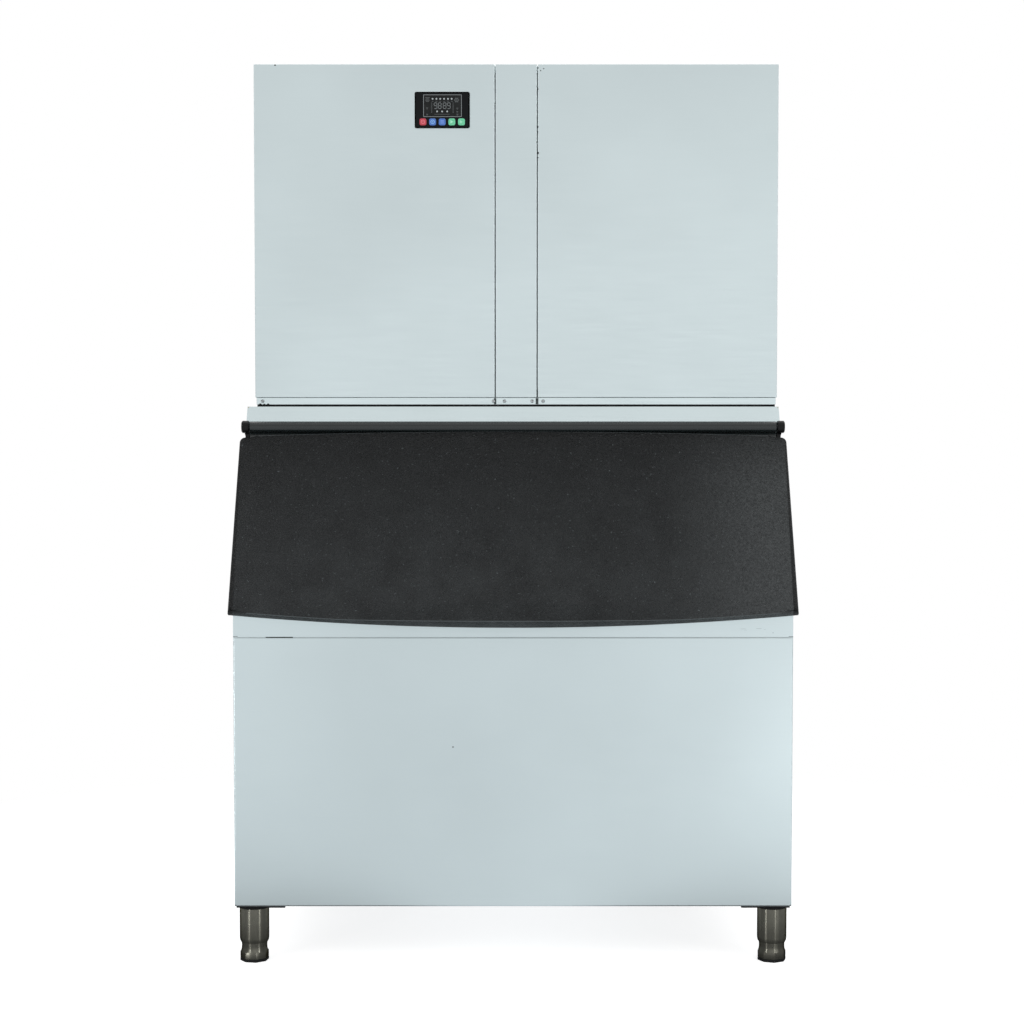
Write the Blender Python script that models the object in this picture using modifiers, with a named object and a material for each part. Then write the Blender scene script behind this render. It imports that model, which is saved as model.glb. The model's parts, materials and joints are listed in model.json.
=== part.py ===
# Cube ice machine: an ice making head with two front panels on an insulated
# storage bin with a sloped mouth, a hinged lid and four levelling legs.
# Metres, +Z up, front towards -Y. The origin is on the floor, under the middle
# of the machine's box.
# In the machine frame used below, y = 0 is the bin's front and z = 0 the floor.

import math

import bmesh
import bpy
from mathutils import Matrix, Vector

for leftover in list(bpy.data.objects):
    bpy.data.objects.remove(leftover, do_unlink=True)

# Clearances and sheet
clearance = 0.0003          # between pieces that seat on each other
sheet = 0.0010              # stainless sheet of the casings
running_gap = 0.0003        # round a pin or rod in its bore

# Storage bin
bin_width = 1.220
bin_depth = 0.850
bin_base_z = 0.130          # underside of the bin above the floor
bin_top_z = 1.2255
slope_start_z = 0.772       # where the front turns into the slope
seam_drop = 0.050
front_seam_z = slope_start_z - seam_drop    # joint between the two front sheets
slope_angle = math.radians(30)
front_corner_radius = 0.008
fascia_corner_radius = 0.009
front_wall = 0.055
slope_wall = 0.055
back_wall = 0.055
side_wall = 0.055
roof_wall = 0.050
floor_wall = 0.060
liner_wall = 0.0020

# Mouth of the bin, measured on the slope from the hinge axis downwards
mouth_side = 0.090          # from the bin's side
mouth_width = bin_width - 2 * mouth_side
mouth_top = 0.055
mouth_corner_radius = 0.030
throat_wall = 0.0030
throat_flange_width = 0.024
throat_flange_thickness = 0.0020
throat_overhang = 0.0020    # of the throat past the liner

# Lid, in the slope's frame: s runs down the slope from the hinge axis, w outwards
hinge_drop = 0.0465         # hinge axis below the bin's top
hinge_axis_z = bin_top_z - hinge_drop
hinge_stand = 0.022         # hinge axis above the sloped sheet
barrel_radius = 0.0125
barrel_inset = 0.012        # barrel's end from the bin's side
barrel_length = bin_width - 2 * barrel_inset
hinge_rod_radius = 0.0050
hinge_rod_reach = 0.012     # rod's end past the barrel's
hinge_rod_length = barrel_length + 2 * hinge_rod_reach
lid_overhang = 0.0095       # lid past each side of the bin
lid_width = bin_width + 2 * lid_overhang
lid_top_middle = 0.0135
lid_top_arch = 0.0125       # how far the top rim drops towards its ends
lid_past = 0.0225           # bottom edge past the foot of the slope, along the slope
lid_bottom_middle = (hinge_axis_z - slope_start_z) / math.cos(slope_angle) + lid_past
mouth_end = 0.0603          # mouth's lower edge from the lid's
mouth_bottom = lid_bottom_middle - mouth_end
lid_bottom_bow = 0.0300     # how far the bottom edge rises towards its ends
lid_face_out = 0.0030       # face beyond the hinge axis
lid_rim_in = 0.0155         # rim's back edge behind the hinge axis
lid_wall = 0.0040
lid_edge_radius = 0.009
lid_corner_radius = 0.012
grip_flare = 0.015          # how far the grip stands out of the face
grip_half_width = 0.360
grip_height = 0.052         # from the crease to the bottom edge, at the middle
grip_height_end = 0.018
lid_web_thickness = 0.0050
lid_web_depth = 0.0115      # web's inner side behind the hinge axis
lid_columns = 28
lid_face_rows = 9
lid_grip_rows = 3
lid_liner_wall = 0.0025
plug_margin = 0.017         # between the lid's plug and the throat
plug_depth = 0.018
gasket_width = 0.012
gasket_margin = 0.008       # from the throat's opening to the gasket

# Hinge brackets
knuckle_radius = 0.0140
knuckle_length = 0.0175
bracket_foot_top = 0.012    # foot above and below the hinge axis, on the slope
bracket_foot_bottom = 0.019
bracket_foot_thickness = 0.0050
bracket_width = 0.0085

# Legs
leg_inset_x = 0.0370        # leg's axis from the bin's side
leg_inset_y = 0.048
leg_plate_width = 0.107
leg_plate_depth = 0.088
leg_plate_edge = 0.003      # plate's edge from the bin's side
leg_plate_thickness = 0.0042
leg_tube_radius = 0.0325
leg_tube_wall = 0.0022
leg_tube_bottom_z = 0.042
foot_stem_radius = 0.0298
foot_waist_radius = 0.0278
foot_stem_top_z = 0.092
foot_flare_radius = 0.0308
foot_hex_radius = 0.0330
foot_hex_top_z = 0.0185
foot_pad_height = 0.0045
foot_pad_radius = 0.0285
foot_waist_drop = 0.002
foot_step = 0.001           # small steps of the foot's turned profile
foot_shoulder = 0.006       # stem's full width below the tube

# Ice making head, in its own frame: x = 0 its middle, y = 0 its front, z = 0 its underside
head_inset = 0.010          # half of what the head is narrower than the bin
head_width = bin_width - 2 * head_inset
head_depth = 0.560
head_height = 0.776
head_shift = 0.007          # the head sits a little to the right of the bin
head_step = 0.009           # head's front behind the bin's top edge
head_seal_height = 0.0052
head_seal_width = 0.016
head_seal_edge = 0.004
head_seal_corner = 0.004
rail_height = 0.0150
rail_end = 0.0035           # rail's end from the head's side
rail_step = 0.0012
tray_sheet = 0.0012
door_depth = 0.022
door_gap = 0.0020           # seams between the doors and the centre strip
door_edge_radius = 0.0012
strip_width = 0.0944
roof_flange = 0.0154
partition_x = -0.020
vent_slot_height = 0.010
vent_slot_pitch = 0.026
vent_slot_count = 12
side_vent_front = 0.120
side_vent_back = 0.400
side_vent_low = 0.080
back_vent_side = 0.020      # from the condenser's side
back_vent_low = 0.060

# Control plate on the left door, in the head's frame
control_x = -0.169
control_drop = 0.104        # plate's middle below the head's top
control_z = head_height - control_drop
control_width = 0.126
control_height = 0.0823
control_corner_radius = 0.004
control_plate = 0.0020
control_rim = 0.0029        # how far the plate stands out of the door
control_body_depth = 0.016
control_body_margin = 0.006
control_body_margin_z = 0.003
control_wall = 0.0015
window_width = 0.0866
window_height = 0.0495
window_x = 0.0006           # from the plate's middle
window_z = 0.0095
key_count = 5
key_size = 0.0156
key_pitch = 0.0220
key_z = -0.0272
key_corner_radius = 0.004
key_proud = 0.0008
key_flange = 0.0012
board_thickness = 0.0016
board_y = 0.0030
display_block_share = 0.8   # of the window's width and height
connector_reach = 0.030     # from the board's middle
connector_low = -0.024
connector_high = -0.015
connector_height = 0.009
connector_count = 3
connector_pitch = 0.018
lens_rim = 0.001

# Machine side, in the head's frame
compressor_side = 0.150     # can's middle from the head's side
compressor_x = -head_width / 2 + compressor_side
compressor_y = 0.200
compressor_radius = 0.082
compressor_height = 0.260
compressor_foot = 0.200
compressor_foot_thickness = 0.0030
compressor_foot_corner = 0.025
compressor_dome = 0.045
compressor_seam_share = 0.55    # of the can's height
compressor_seam = 0.003     # how far the weld seam stands out
compressor_base = 0.025     # height of the can's rounded bottom
compressor_base_share = 0.8
terminal_width = 0.060
terminal_reach = 0.030
terminal_low = 0.080
terminal_height = 0.050
condenser_side = 0.100      # from the head's side
condenser_gap = 0.080       # from the partition
condenser_left = -head_width / 2 + condenser_side
condenser_width = partition_x - condenser_gap - condenser_left
condenser_height = 0.420
condenser_depth = 0.045
condenser_core = 0.012
condenser_fins = 25
condenser_fin = 0.0040
condenser_back_gap = 0.0105
shroud_depth = 0.060
shroud_wall = 0.0015
fan_opening_margin = 0.045  # from the shroud's side
fan_opening_radius = condenser_width / 2 - fan_opening_margin
fan_collar_depth = 0.030
fan_tip_gap = 0.010
fan_radius = fan_opening_radius - fan_tip_gap
fan_hub_radius = 0.030
fan_hub_depth = 0.026
fan_blade_count = 4
fan_blade_chord = 0.095
fan_blade_thickness = 0.0025
fan_blade_pitch = math.radians(24)
fan_shaft_radius = 0.0040
fan_hub_edge = 0.005
fan_front_gap = 0.002       # hub behind the shroud's front
motor_radius = 0.042
motor_depth = 0.075
motor_edge = 0.008
motor_shoulder = 0.012
motor_arm_count = 3
motor_arm_width = 0.016
motor_arm_thickness = 0.0030
motor_arm_overlap = 0.017   # arm on the shroud past its opening
motor_arm_reach = fan_opening_radius + motor_arm_overlap

# Ice making side, in the head's frame
drop_gap = 0.082            # from the partition
drop_side = 0.080           # from the head's side
drop_left = partition_x + drop_gap
drop_right = head_width / 2 - drop_side
drop_front = 0.055
drop_back = 0.195
trough_gap = 0.065          # from the partition
trough_side = 0.055         # from the head's side
trough_left = partition_x + trough_gap
trough_right = head_width / 2 - trough_side
trough_front = 0.205
trough_back = 0.335
trough_height = 0.0985
trough_wall = 0.0030
frame_plate = 0.0060
frame_front = 0.198
frame_back = 0.320
frame_drop = 0.073          # below the head's top
frame_top = head_height - frame_drop
frame_bar = 0.010
pocket_pitch = 0.038
pocket_size = 0.033
pocket_depth = 0.019
evaporator_depth = 0.024
evaporator_y = 0.245
evaporator_bottom = 0.196
evaporator_drop = 0.073     # top below the frame's top, at least
pocket_columns = int((trough_right - trough_left - 2 * frame_plate) / pocket_pitch)
pocket_rows = int((frame_top - evaporator_drop - evaporator_bottom) / pocket_pitch)
evaporator_border = 0.0065
coolant_tube_radius = 0.0050
coolant_margin = 0.030      # tube's outer passes from the plate's edges
coolant_passes = 6
coolant_bend_steps = 6
curtain_y = 0.2135
curtain_pivot_drop = 0.025  # below the frame's top
curtain_pivot_z = frame_top - curtain_pivot_drop
curtain_thickness = 0.0030
curtain_bottom = 0.112
curtain_rib = 0.006
curtain_side_gap = 0.0015
curtain_pin_radius = 0.0030
curtain_top_height = 0.008  # above the pivot
spray_tube_radius = 0.011
spray_tube_wall = 0.0020
spray_tube_y = 0.256
spray_tube_drop = 0.050     # below the frame's top
spray_tube_z = frame_top - spray_tube_drop
spray_tube_overhang = 0.018
spray_hole_radius = 0.0018
pump_side = 0.050           # from the trough's end
pump_x = trough_right - pump_side
pump_radius = 0.031
pump_shoulder = 0.008
pump_height = 0.080
pump_plate_width = 0.078
pump_plate_thickness = 0.0040
pump_intake_radius = 0.012
pump_intake_gap = 0.010     # above the trough's floor
float_pivot_gap = 0.033     # from the trough's end
float_pivot_x = trough_left + float_pivot_gap
float_pivot_z = 0.080
float_pin_radius = 0.0030
float_pin_length = 0.034
float_eye_radius = 0.0075
float_arm_length = 0.080
float_arm_thickness = 0.0040
float_radius = 0.018
float_y_gap = 0.017         # eye from the trough's back wall
float_eye_depth = 0.010
float_droop = math.radians(15)

# Fittings
drain_back = 0.150          # from the bin's back
drain_y = bin_depth - drain_back
drain_radius = 0.016
drain_bore = 0.011
drain_flange_radius = 0.028
drain_flange = 0.0020
drain_below = 0.040         # below the bin's underside
gland_radius = 0.0105
gland_nut_radius = 0.0160
gland_nut_length = 0.012
gland_bore = 0.0045
gland_side = 0.050          # from the head's side
gland_x = -head_width / 2 + gland_side
gland_z = 0.060
inlet_side = 0.080
inlet_x = head_width / 2 - inlet_side
inlet_z = 0.060
inlet_radius = 0.013
inlet_bore = 0.009
inlet_length = 0.016
inlet_nut_rim = 0.006
fitting_reach = 0.012       # inside the back panel
gland_lip = 0.002

round_steps = 24
small_steps = 12
hole_steps = 6
arc_steps = 4
rim_steps = 12
through = 0.010             # how far a cutter runs past the face it cuts

cos_slope = math.cos(slope_angle)
sin_slope = math.sin(slope_angle)


# Geometry worked out from the sizes above
def slope_y(z, depth=0.0):
    """Y of the sloped sheet at height z, or of a plane that deep behind it."""
    return (depth + sin_slope * (z - slope_start_z)) / cos_slope


hinge_axis_y = slope_y(hinge_axis_z) - hinge_stand / cos_slope
head_front_y = slope_y(bin_top_z) + head_step
head_base_z = bin_top_z + head_seal_height
lip_y = hinge_axis_y - lid_bottom_middle * sin_slope - (lid_face_out + grip_flare) * cos_slope
machine_centre_y = (bin_depth + lip_y) / 2


def bin_profile(front, slope, top, back, bottom):
    """Side outline of the bin as (y, z), with each wall moved in by its own amount."""
    low_z = bin_base_z + bottom
    bend_z = slope_start_z + (front * cos_slope - slope) / sin_slope
    high_z = bin_top_z - top
    return [
        (front, low_z),
        (front, bend_z),
        (slope_y(high_z, slope), high_z),
        (bin_depth - back, high_z),
        (bin_depth - back, low_z),
    ]


def lid_top(x):
    """Distance down the slope of the lid's top rim."""
    return lid_top_middle + lid_top_arch * (2 * x / lid_width) ** 2


def lid_bottom(x):
    """Distance down the slope of the lid's bottom edge."""
    return lid_bottom_middle - lid_bottom_bow * (2 * x / lid_width) ** 2


def rounded_rectangle(width, height, radius, middle=(0.0, 0.0), steps=5):
    """Corner arcs of a rectangle about its middle, anticlockwise."""
    points = []
    corners = ((1, 1, 0), (-1, 1, 90), (-1, -1, 180), (1, -1, 270))
    for side_x, side_y, start in corners:
        centre_x = middle[0] + side_x * (width / 2 - radius)
        centre_y = middle[1] + side_y * (height / 2 - radius)
        for step in range(steps + 1):
            angle = math.radians(start + 90 * step / steps)
            points.append((centre_x + radius * math.cos(angle), centre_y + radius * math.sin(angle)))
    return points


# Collections, carriers and materials
part_collection = bpy.data.collections.new("cube_ice_machine")
cutter_collection = bpy.data.collections.new("cutters")
bpy.context.scene.collection.children.link(part_collection)
bpy.context.scene.collection.children.link(cutter_collection)


def carrier(name, location, parent=None, turn=(0.0, 0.0, 0.0)):
    """Empty that carries pieces; a joint's axis runs through it."""
    empty = bpy.data.objects.new(name, None)
    empty.empty_display_size = 0.05
    empty.location = location
    empty.rotation_euler = turn
    empty.parent = parent
    part_collection.objects.link(empty)
    return empty


machine = carrier("machine", (0.0, -machine_centre_y, 0.0))
slope_turn = (math.pi / 2 - slope_angle, 0.0, 0.0)
slope_frame = carrier("slope_frame", (0.0, hinge_axis_y, hinge_axis_z), machine, slope_turn)
lid_axis = carrier("lid_axis", (0.0, hinge_axis_y, hinge_axis_z), machine, slope_turn)
head = carrier("head", (head_shift, head_front_y, head_base_z), machine)


def material(name, colour, roughness, metallic):
    made = bpy.data.materials.new(name)
    made.use_nodes = True
    shader = made.node_tree.nodes["Principled BSDF"]
    shader.inputs["Base Color"].default_value = (*colour, 1.0)
    shader.inputs["Roughness"].default_value = roughness
    shader.inputs["Metallic"].default_value = metallic
    made.diffuse_color = (*colour, 1.0)
    return made


stainless = material("stainless_sheet", (0.60, 0.66, 0.67), 0.38, 1.0)
galvanised = material("galvanised_sheet", (0.50, 0.52, 0.53), 0.45, 1.0)
lid_plastic = material("black_grained_plastic", (0.028, 0.030, 0.031), 0.55, 0.0)
hinge_plastic = material("black_moulded_plastic", (0.012, 0.012, 0.013), 0.35, 0.0)
white_plastic = material("white_food_plastic", (0.80, 0.82, 0.82), 0.40, 0.0)
foam_material = material("insulating_foam", (0.72, 0.62, 0.36), 0.90, 0.0)
rubber = material("black_rubber", (0.020, 0.020, 0.020), 0.75, 0.0)
steel = material("bright_steel", (0.55, 0.55, 0.55), 0.30, 1.0)
nickel = material("nickel_plated_leg", (0.30, 0.29, 0.26), 0.25, 1.0)
plate_black = material("black_painted_steel", (0.015, 0.015, 0.015), 0.50, 0.0)
gloss_black = material("gloss_black_panel", (0.010, 0.010, 0.012), 0.12, 0.0)
display_glass = material("smoked_display", (0.030, 0.034, 0.038), 0.08, 0.0)
board_green = material("circuit_board", (0.02, 0.16, 0.06), 0.50, 0.0)
key_red = material("red_key", (0.57, 0.045, 0.06), 0.35, 0.0)
key_blue = material("blue_key", (0.06, 0.16, 0.57), 0.35, 0.0)
key_green = material("green_key", (0.18, 0.66, 0.38), 0.35, 0.0)
compressor_black = material("black_enamel", (0.012, 0.012, 0.012), 0.30, 0.0)
copper = material("tinned_copper", (0.62, 0.55, 0.48), 0.35, 1.0)
aluminium = material("aluminium_fins", (0.75, 0.76, 0.77), 0.40, 1.0)
clear_plastic = material("clear_curtain_plastic", (0.70, 0.76, 0.80), 0.15, 0.0)


# Modelling helpers
def smooth(mesh, angle=35):
    mesh.shade_smooth()
    mesh.set_sharp_from_angle(angle=math.radians(angle))


def add_piece(name, mesh, finish, parent, location=(0.0, 0.0, 0.0), turn=(0.0, 0.0, 0.0)):
    piece = bpy.data.objects.new(name, mesh)
    if finish is None:
        cutter_collection.objects.link(piece)
        piece.hide_render = True
        piece.display_type = 'WIRE'
    else:
        part_collection.objects.link(piece)
        mesh.materials.append(finish)
    piece.parent = parent
    piece.location = location
    piece.rotation_euler = turn
    return piece


def mesh_from(name, bm):
    mesh = bpy.data.meshes.new(name)
    bm.to_mesh(mesh)
    bm.free()
    return mesh


def box_bmesh(size):
    bm = bmesh.new()
    bmesh.ops.create_cube(bm, size=1.0)
    bmesh.ops.scale(bm, verts=bm.verts, vec=size)
    return bm


def box(name, low, high, finish, parent, edge=0.0):
    """Box between two corners, its origin at its middle, with rounded edges if asked."""
    size = [b - a for a, b in zip(low, high)]
    middle = [(a + b) / 2 for a, b in zip(low, high)]
    piece = add_piece(name, mesh_from(name, box_bmesh(size)), finish, parent, middle)
    if edge:
        bevel(piece, edge)
    return piece


def bevel(piece, width, segments=2):
    rounding = piece.modifiers.new("edges", 'BEVEL')
    rounding.width = width
    rounding.segments = segments
    rounding.limit_method = 'ANGLE'
    return rounding


AXIS_TURN = {
    'X': (0.0, math.pi / 2, 0.0),
    'Y': (-math.pi / 2, 0.0, 0.0),
    'Z': (0.0, 0.0, 0.0),
}


def cylinder(name, radius, length, middle, axis, finish, parent, steps=round_steps):
    bm = bmesh.new()
    bmesh.ops.create_cone(
        bm, cap_ends=True, segments=steps, radius1=radius, radius2=radius, depth=length)
    mesh = mesh_from(name, bm)
    smooth(mesh)
    return add_piece(name, mesh, finish, parent, middle, AXIS_TURN[axis])


def turned(name, profile, finish, parent, location, axis='Z', steps=round_steps):
    """Profile of (radius, height), down its outer side, turned about the axis."""
    bm = bmesh.new()
    points = [bm.verts.new((radius, 0.0, height)) for radius, height in profile]
    for upper, lower in zip(points, points[1:]):
        bm.edges.new((upper, lower))
    piece = add_piece(name, mesh_from(name, bm), finish, parent, location, AXIS_TURN[axis])
    screw = piece.modifiers.new("turning", 'SCREW')
    screw.axis = 'Z'
    screw.steps = steps
    screw.render_steps = steps
    screw.use_merge_vertices = True
    screw.merge_threshold = 0.00001
    screw.use_smooth_shade = True
    return piece


def outline_mesh(name, outlines, thickness):
    """Flat outline with holes, extruded both ways from its plane, as a closed mesh."""
    curve = bpy.data.curves.new(name + "_outline", 'CURVE')
    curve.dimensions = '2D'
    curve.fill_mode = 'BOTH'
    curve.extrude = thickness / 2
    for points in outlines:
        spline = curve.splines.new('POLY')
        spline.points.add(len(points) - 1)
        for control, point in zip(spline.points, points):
            control.co = (point[0], point[1], 0.0, 1.0)
        spline.use_cyclic_u = True
    holder = bpy.data.objects.new(name + "_outline", curve)
    cutter_collection.objects.link(holder)
    evaluated = holder.evaluated_get(bpy.context.evaluated_depsgraph_get())
    mesh = bpy.data.meshes.new_from_object(evaluated)
    bpy.data.objects.remove(holder)
    bpy.data.curves.remove(curve)
    mesh.name = name
    bm = bmesh.new()
    bm.from_mesh(mesh)
    bmesh.ops.remove_doubles(bm, verts=bm.verts, dist=0.00001)
    bmesh.ops.recalc_face_normals(bm, faces=bm.faces)
    bm.to_mesh(mesh)
    bm.free()
    return mesh


# How an outline's plane lies: (first axis, second axis) of its points
OUTLINE_TURN = {
    'XY': (0.0, 0.0, 0.0),
    'XZ': (math.pi / 2, 0.0, 0.0),
    'YZ': (math.pi / 2, 0.0, math.pi / 2),
}


def outline_solid(name, outlines, thickness, plane, finish, parent, location=(0.0, 0.0, 0.0)):
    mesh = outline_mesh(name, outlines, thickness)
    return add_piece(name, mesh, finish, parent, location, OUTLINE_TURN[plane])


def tube_mesh(name, points, radius, resolution=2):
    """Round tube along points, as a closed mesh."""
    curve = bpy.data.curves.new(name + "_path", 'CURVE')
    curve.dimensions = '3D'
    curve.bevel_depth = radius
    curve.bevel_resolution = resolution
    curve.use_fill_caps = True
    spline = curve.splines.new('POLY')
    spline.points.add(len(points) - 1)
    for control, point in zip(spline.points, points):
        control.co = (*point, 1.0)
    holder = bpy.data.objects.new(name + "_path", curve)
    cutter_collection.objects.link(holder)
    evaluated = holder.evaluated_get(bpy.context.evaluated_depsgraph_get())
    mesh = bpy.data.meshes.new_from_object(evaluated)
    bpy.data.objects.remove(holder)
    bpy.data.curves.remove(curve)
    mesh.name = name
    bm = bmesh.new()
    bm.from_mesh(mesh)
    bmesh.ops.remove_doubles(bm, verts=bm.verts, dist=0.00001)
    bmesh.ops.recalc_face_normals(bm, faces=bm.faces)
    bm.to_mesh(mesh)
    bm.free()
    return mesh


def boolean(piece, other, operation):
    step = piece.modifiers.new(operation.lower(), 'BOOLEAN')
    step.operation = operation
    step.solver = 'EXACT'
    step.object = other


def cut(piece, *cutters):
    for cutter in cutters:
        boolean(piece, cutter, 'DIFFERENCE')


def join(piece, *others):
    for other in others:
        boolean(piece, other, 'UNION')


def solidify(piece, thickness):
    wall = piece.modifiers.new("wall", 'SOLIDIFY')
    wall.thickness = thickness
    wall.offset = -1.0
    wall.use_even_offset = True


def keep_faces(mesh, wanted):
    """Drop the faces whose normal and middle the test doesn't want."""
    bm = bmesh.new()
    bm.from_mesh(mesh)
    dropped = [face for face in bm.faces if not wanted(face.normal, face.calc_center_median())]
    bmesh.ops.delete(bm, geom=dropped, context='FACES')
    bm.to_mesh(mesh)
    bm.free()


def pan(name, low, high, open_axis, open_side, wall, finish, parent, fold=0.0):
    """Folded sheet pan between two corners, open on one side, its folds rounded."""
    size = [b - a for a, b in zip(low, high)]
    middle = [(a + b) / 2 for a, b in zip(low, high)]
    mesh = mesh_from(name, box_bmesh(size))
    keep_faces(mesh, lambda normal, _: normal[open_axis] * open_side < 0.5)
    piece = add_piece(name, mesh, finish, parent, middle)
    if fold:
        bevel(piece, fold)
    solidify(piece, wall)
    return piece


# Storage bin casing: every sheet follows the bin's side outline
def build_front_panel():
    height = front_seam_z - clearance - bin_base_z
    middle_z = bin_base_z + height / 2
    bm = bmesh.new()
    bmesh.ops.create_cube(bm, size=1.0)
    bmesh.ops.scale(bm, verts=bm.verts, vec=(bin_width, sheet, height))
    low_corners = [
        edge for edge in bm.edges
        if all(v.co.z < 0 for v in edge.verts) and abs(edge.verts[0].co.x - edge.verts[1].co.x) < 1e-6
    ]
    bmesh.ops.bevel(
        bm, geom=low_corners, offset=front_corner_radius, offset_type='OFFSET', segments=4,
        profile=0.5, affect='EDGES', material=-1)
    add_piece(
        "bin_front_panel", mesh_from("bin_front_panel", bm), stainless, machine,
        (0.0, sheet / 2, middle_z))


def build_front_upper():
    """Upper front in one folded sheet: a strip above the seam and the slope round the mouth."""
    outline = bin_profile(0.0, 0.0, 0.0, bin_depth / 2, front_seam_z - bin_base_z)
    mesh = outline_mesh("bin_front_upper", [outline], bin_width)
    keep_faces(mesh, lambda normal, _: normal.x < -0.5)
    bm = bmesh.new()
    bm.from_mesh(mesh)
    top = max(v.co.y for v in bm.verts)
    corners = [v for v in bm.verts if v.co.y > top - 1e-5]
    bmesh.ops.bevel(
        bm, geom=corners, offset=fascia_corner_radius, offset_type='OFFSET', segments=4,
        profile=0.5, affect='VERTICES', material=-1)
    bm.to_mesh(mesh)
    bm.free()
    piece = add_piece("bin_front_upper", mesh, stainless, machine, turn=OUTLINE_TURN['YZ'])
    solidify(piece, sheet)
    cut(piece, mouth_cutter("front_mouth_cutter", throat_wall + clearance))


def mouth_outline(margin):
    """Mouth's outline on the slope, x across and t up the slope, wider by the margin."""
    height = mouth_bottom - mouth_top + 2 * margin
    middle = (0.0, -(mouth_top + mouth_bottom) / 2)
    return rounded_rectangle(
        mouth_width + 2 * margin, height, mouth_corner_radius + margin, middle)


def mouth_cutter(name, margin):
    depth = slope_wall + 8 * through
    mesh = outline_mesh(name, [mouth_outline(margin)], depth)
    return add_piece(name, mesh, None, slope_frame, (0.0, 0.0, -hinge_stand - slope_wall / 2))


def build_wrapper():
    """Sides and back of the bin, one folded sheet."""
    outline = bin_profile(sheet + clearance, sheet + clearance, 0.0, 0.0, 0.0)
    mesh = outline_mesh("bin_wrapper", [outline], bin_width)
    keep_faces(mesh, lambda normal, _: abs(normal.z) > 0.5 or normal.x > 0.5)
    piece = add_piece("bin_wrapper", mesh, stainless, machine, turn=OUTLINE_TURN['YZ'])
    solidify(piece, sheet)


def inner_half_width():
    """Half the width between the wrapper's sides."""
    return bin_width / 2 - sheet - clearance


def build_bottom_panel():
    half = inner_half_width()
    front = sheet + clearance
    back = bin_depth - sheet - clearance
    piece = box(
        "bin_bottom_panel", (-half, front, bin_base_z), (half, back, bin_base_z + sheet),
        galvanised, machine)
    cut(piece, drain_cutter("bottom_drain_cutter"))


def drain_cutter(name):
    length = 2 * (floor_wall + liner_wall + through)
    return cylinder(
        name, drain_radius + clearance, length, (0.0, drain_y, bin_base_z), 'Z', None, machine)


def drop_cutter(name):
    """Opening that the ice falls through, from the head into the bin."""
    low = (
        head_shift + drop_left, head_front_y + drop_front,
        bin_top_z - roof_wall - liner_wall - through)
    high = (
        head_shift + drop_right, head_front_y + drop_back, bin_top_z + through)
    return box(name, low, high, None, machine)


def build_top_deck():
    half = inner_half_width()
    low = (-half, slope_y(bin_top_z) + 3 * clearance, bin_top_z - sheet)
    high = (half, bin_depth - sheet - clearance, bin_top_z)
    piece = box("bin_top_deck", low, high, stainless, machine)
    cut(piece, drop_cutter("deck_drop_cutter"))


foam_joint_z = slope_start_z + (front_wall * cos_slope - slope_wall) / sin_slope


def build_insulation():
    """Foam of the bin: a tub up to the foot of the slope, and a hood with the mouth and drop."""
    skin = sheet + clearance
    half = inner_half_width()
    tub = box(
        "insulation_tub", (-half, skin, bin_base_z + skin),
        (half, bin_depth - skin, foam_joint_z), foam_material, machine)
    hood_start = foam_joint_z + clearance - bin_base_z
    hood = outline_solid(
        "insulation_hood", [bin_profile(skin, skin, skin, skin, hood_start)], 2 * half, 'YZ',
        foam_material, machine)
    cavity = outline_solid(
        "cavity_cutter", [bin_profile(front_wall, slope_wall, roof_wall, back_wall, floor_wall)],
        bin_width - 2 * side_wall, 'YZ', None, machine)
    cut(tub, cavity, drain_cutter("foam_drain_cutter"))
    cut(hood, cavity, mouth_cutter("foam_mouth_cutter", throat_wall + clearance))
    cut(hood, drop_cutter("foam_drop_cutter"))


def build_liner():
    """Tub of the ice cavity, open at the mouth and at the drop."""
    gap = clearance
    outer = bin_profile(
        front_wall + gap, slope_wall + gap, roof_wall + gap, back_wall + gap, floor_wall + gap)
    deep = gap + liner_wall
    inner = bin_profile(
        front_wall + deep, slope_wall + deep, roof_wall + deep, back_wall + deep, floor_wall + deep)
    width = bin_width - 2 * side_wall
    piece = outline_solid("bin_liner", [outer], width - 2 * gap, 'YZ', white_plastic, machine)
    hollow = outline_solid("liner_cutter", [inner], width - 2 * deep, 'YZ', None, machine)
    cut(piece, hollow, mouth_cutter("liner_mouth_cutter", throat_wall + clearance))
    cut(piece, drop_cutter("liner_drop_cutter"), drain_cutter("liner_drain_cutter"))


def build_throat():
    """Moulded frame that lines the mouth, with a flange on the sloped sheet."""
    depth = slope_wall + liner_wall + clearance + throat_overhang
    flange_in = -hinge_stand + clearance
    ring = [mouth_outline(throat_wall), mouth_outline(0.0)]
    overlap = throat_flange_thickness / 2
    piece = outline_solid(
        "throat_frame", ring, depth + overlap, 'XY', hinge_plastic, slope_frame,
        (0.0, 0.0, flange_in + overlap - (depth + overlap) / 2))
    flange_ring = [mouth_outline(throat_flange_width), mouth_outline(0.0)]
    flange = outline_solid(
        "throat_flange", flange_ring, throat_flange_thickness, 'XY', None, slope_frame,
        (0.0, 0.0, flange_in + throat_flange_thickness / 2))
    join(piece, flange)


def build_drain():
    """Drain of the bin: a bored pipe with a flange on the liner's floor."""
    floor = bin_base_z + floor_wall + clearance + liner_wall + clearance
    bottom = bin_base_z - drain_below
    profile = [
        (drain_bore, floor + drain_flange),
        (drain_flange_radius, floor + drain_flange),
        (drain_flange_radius, floor),
        (drain_radius, floor),
        (drain_radius, bottom),
        (drain_bore, bottom),
        (drain_bore, floor + drain_flange),
    ]
    turned("bin_drain", profile, white_plastic, machine, (0.0, drain_y, 0.0))


build_front_panel()
build_front_upper()
build_wrapper()
build_bottom_panel()
build_top_deck()
build_insulation()
build_liner()
build_throat()
build_drain()


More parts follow.
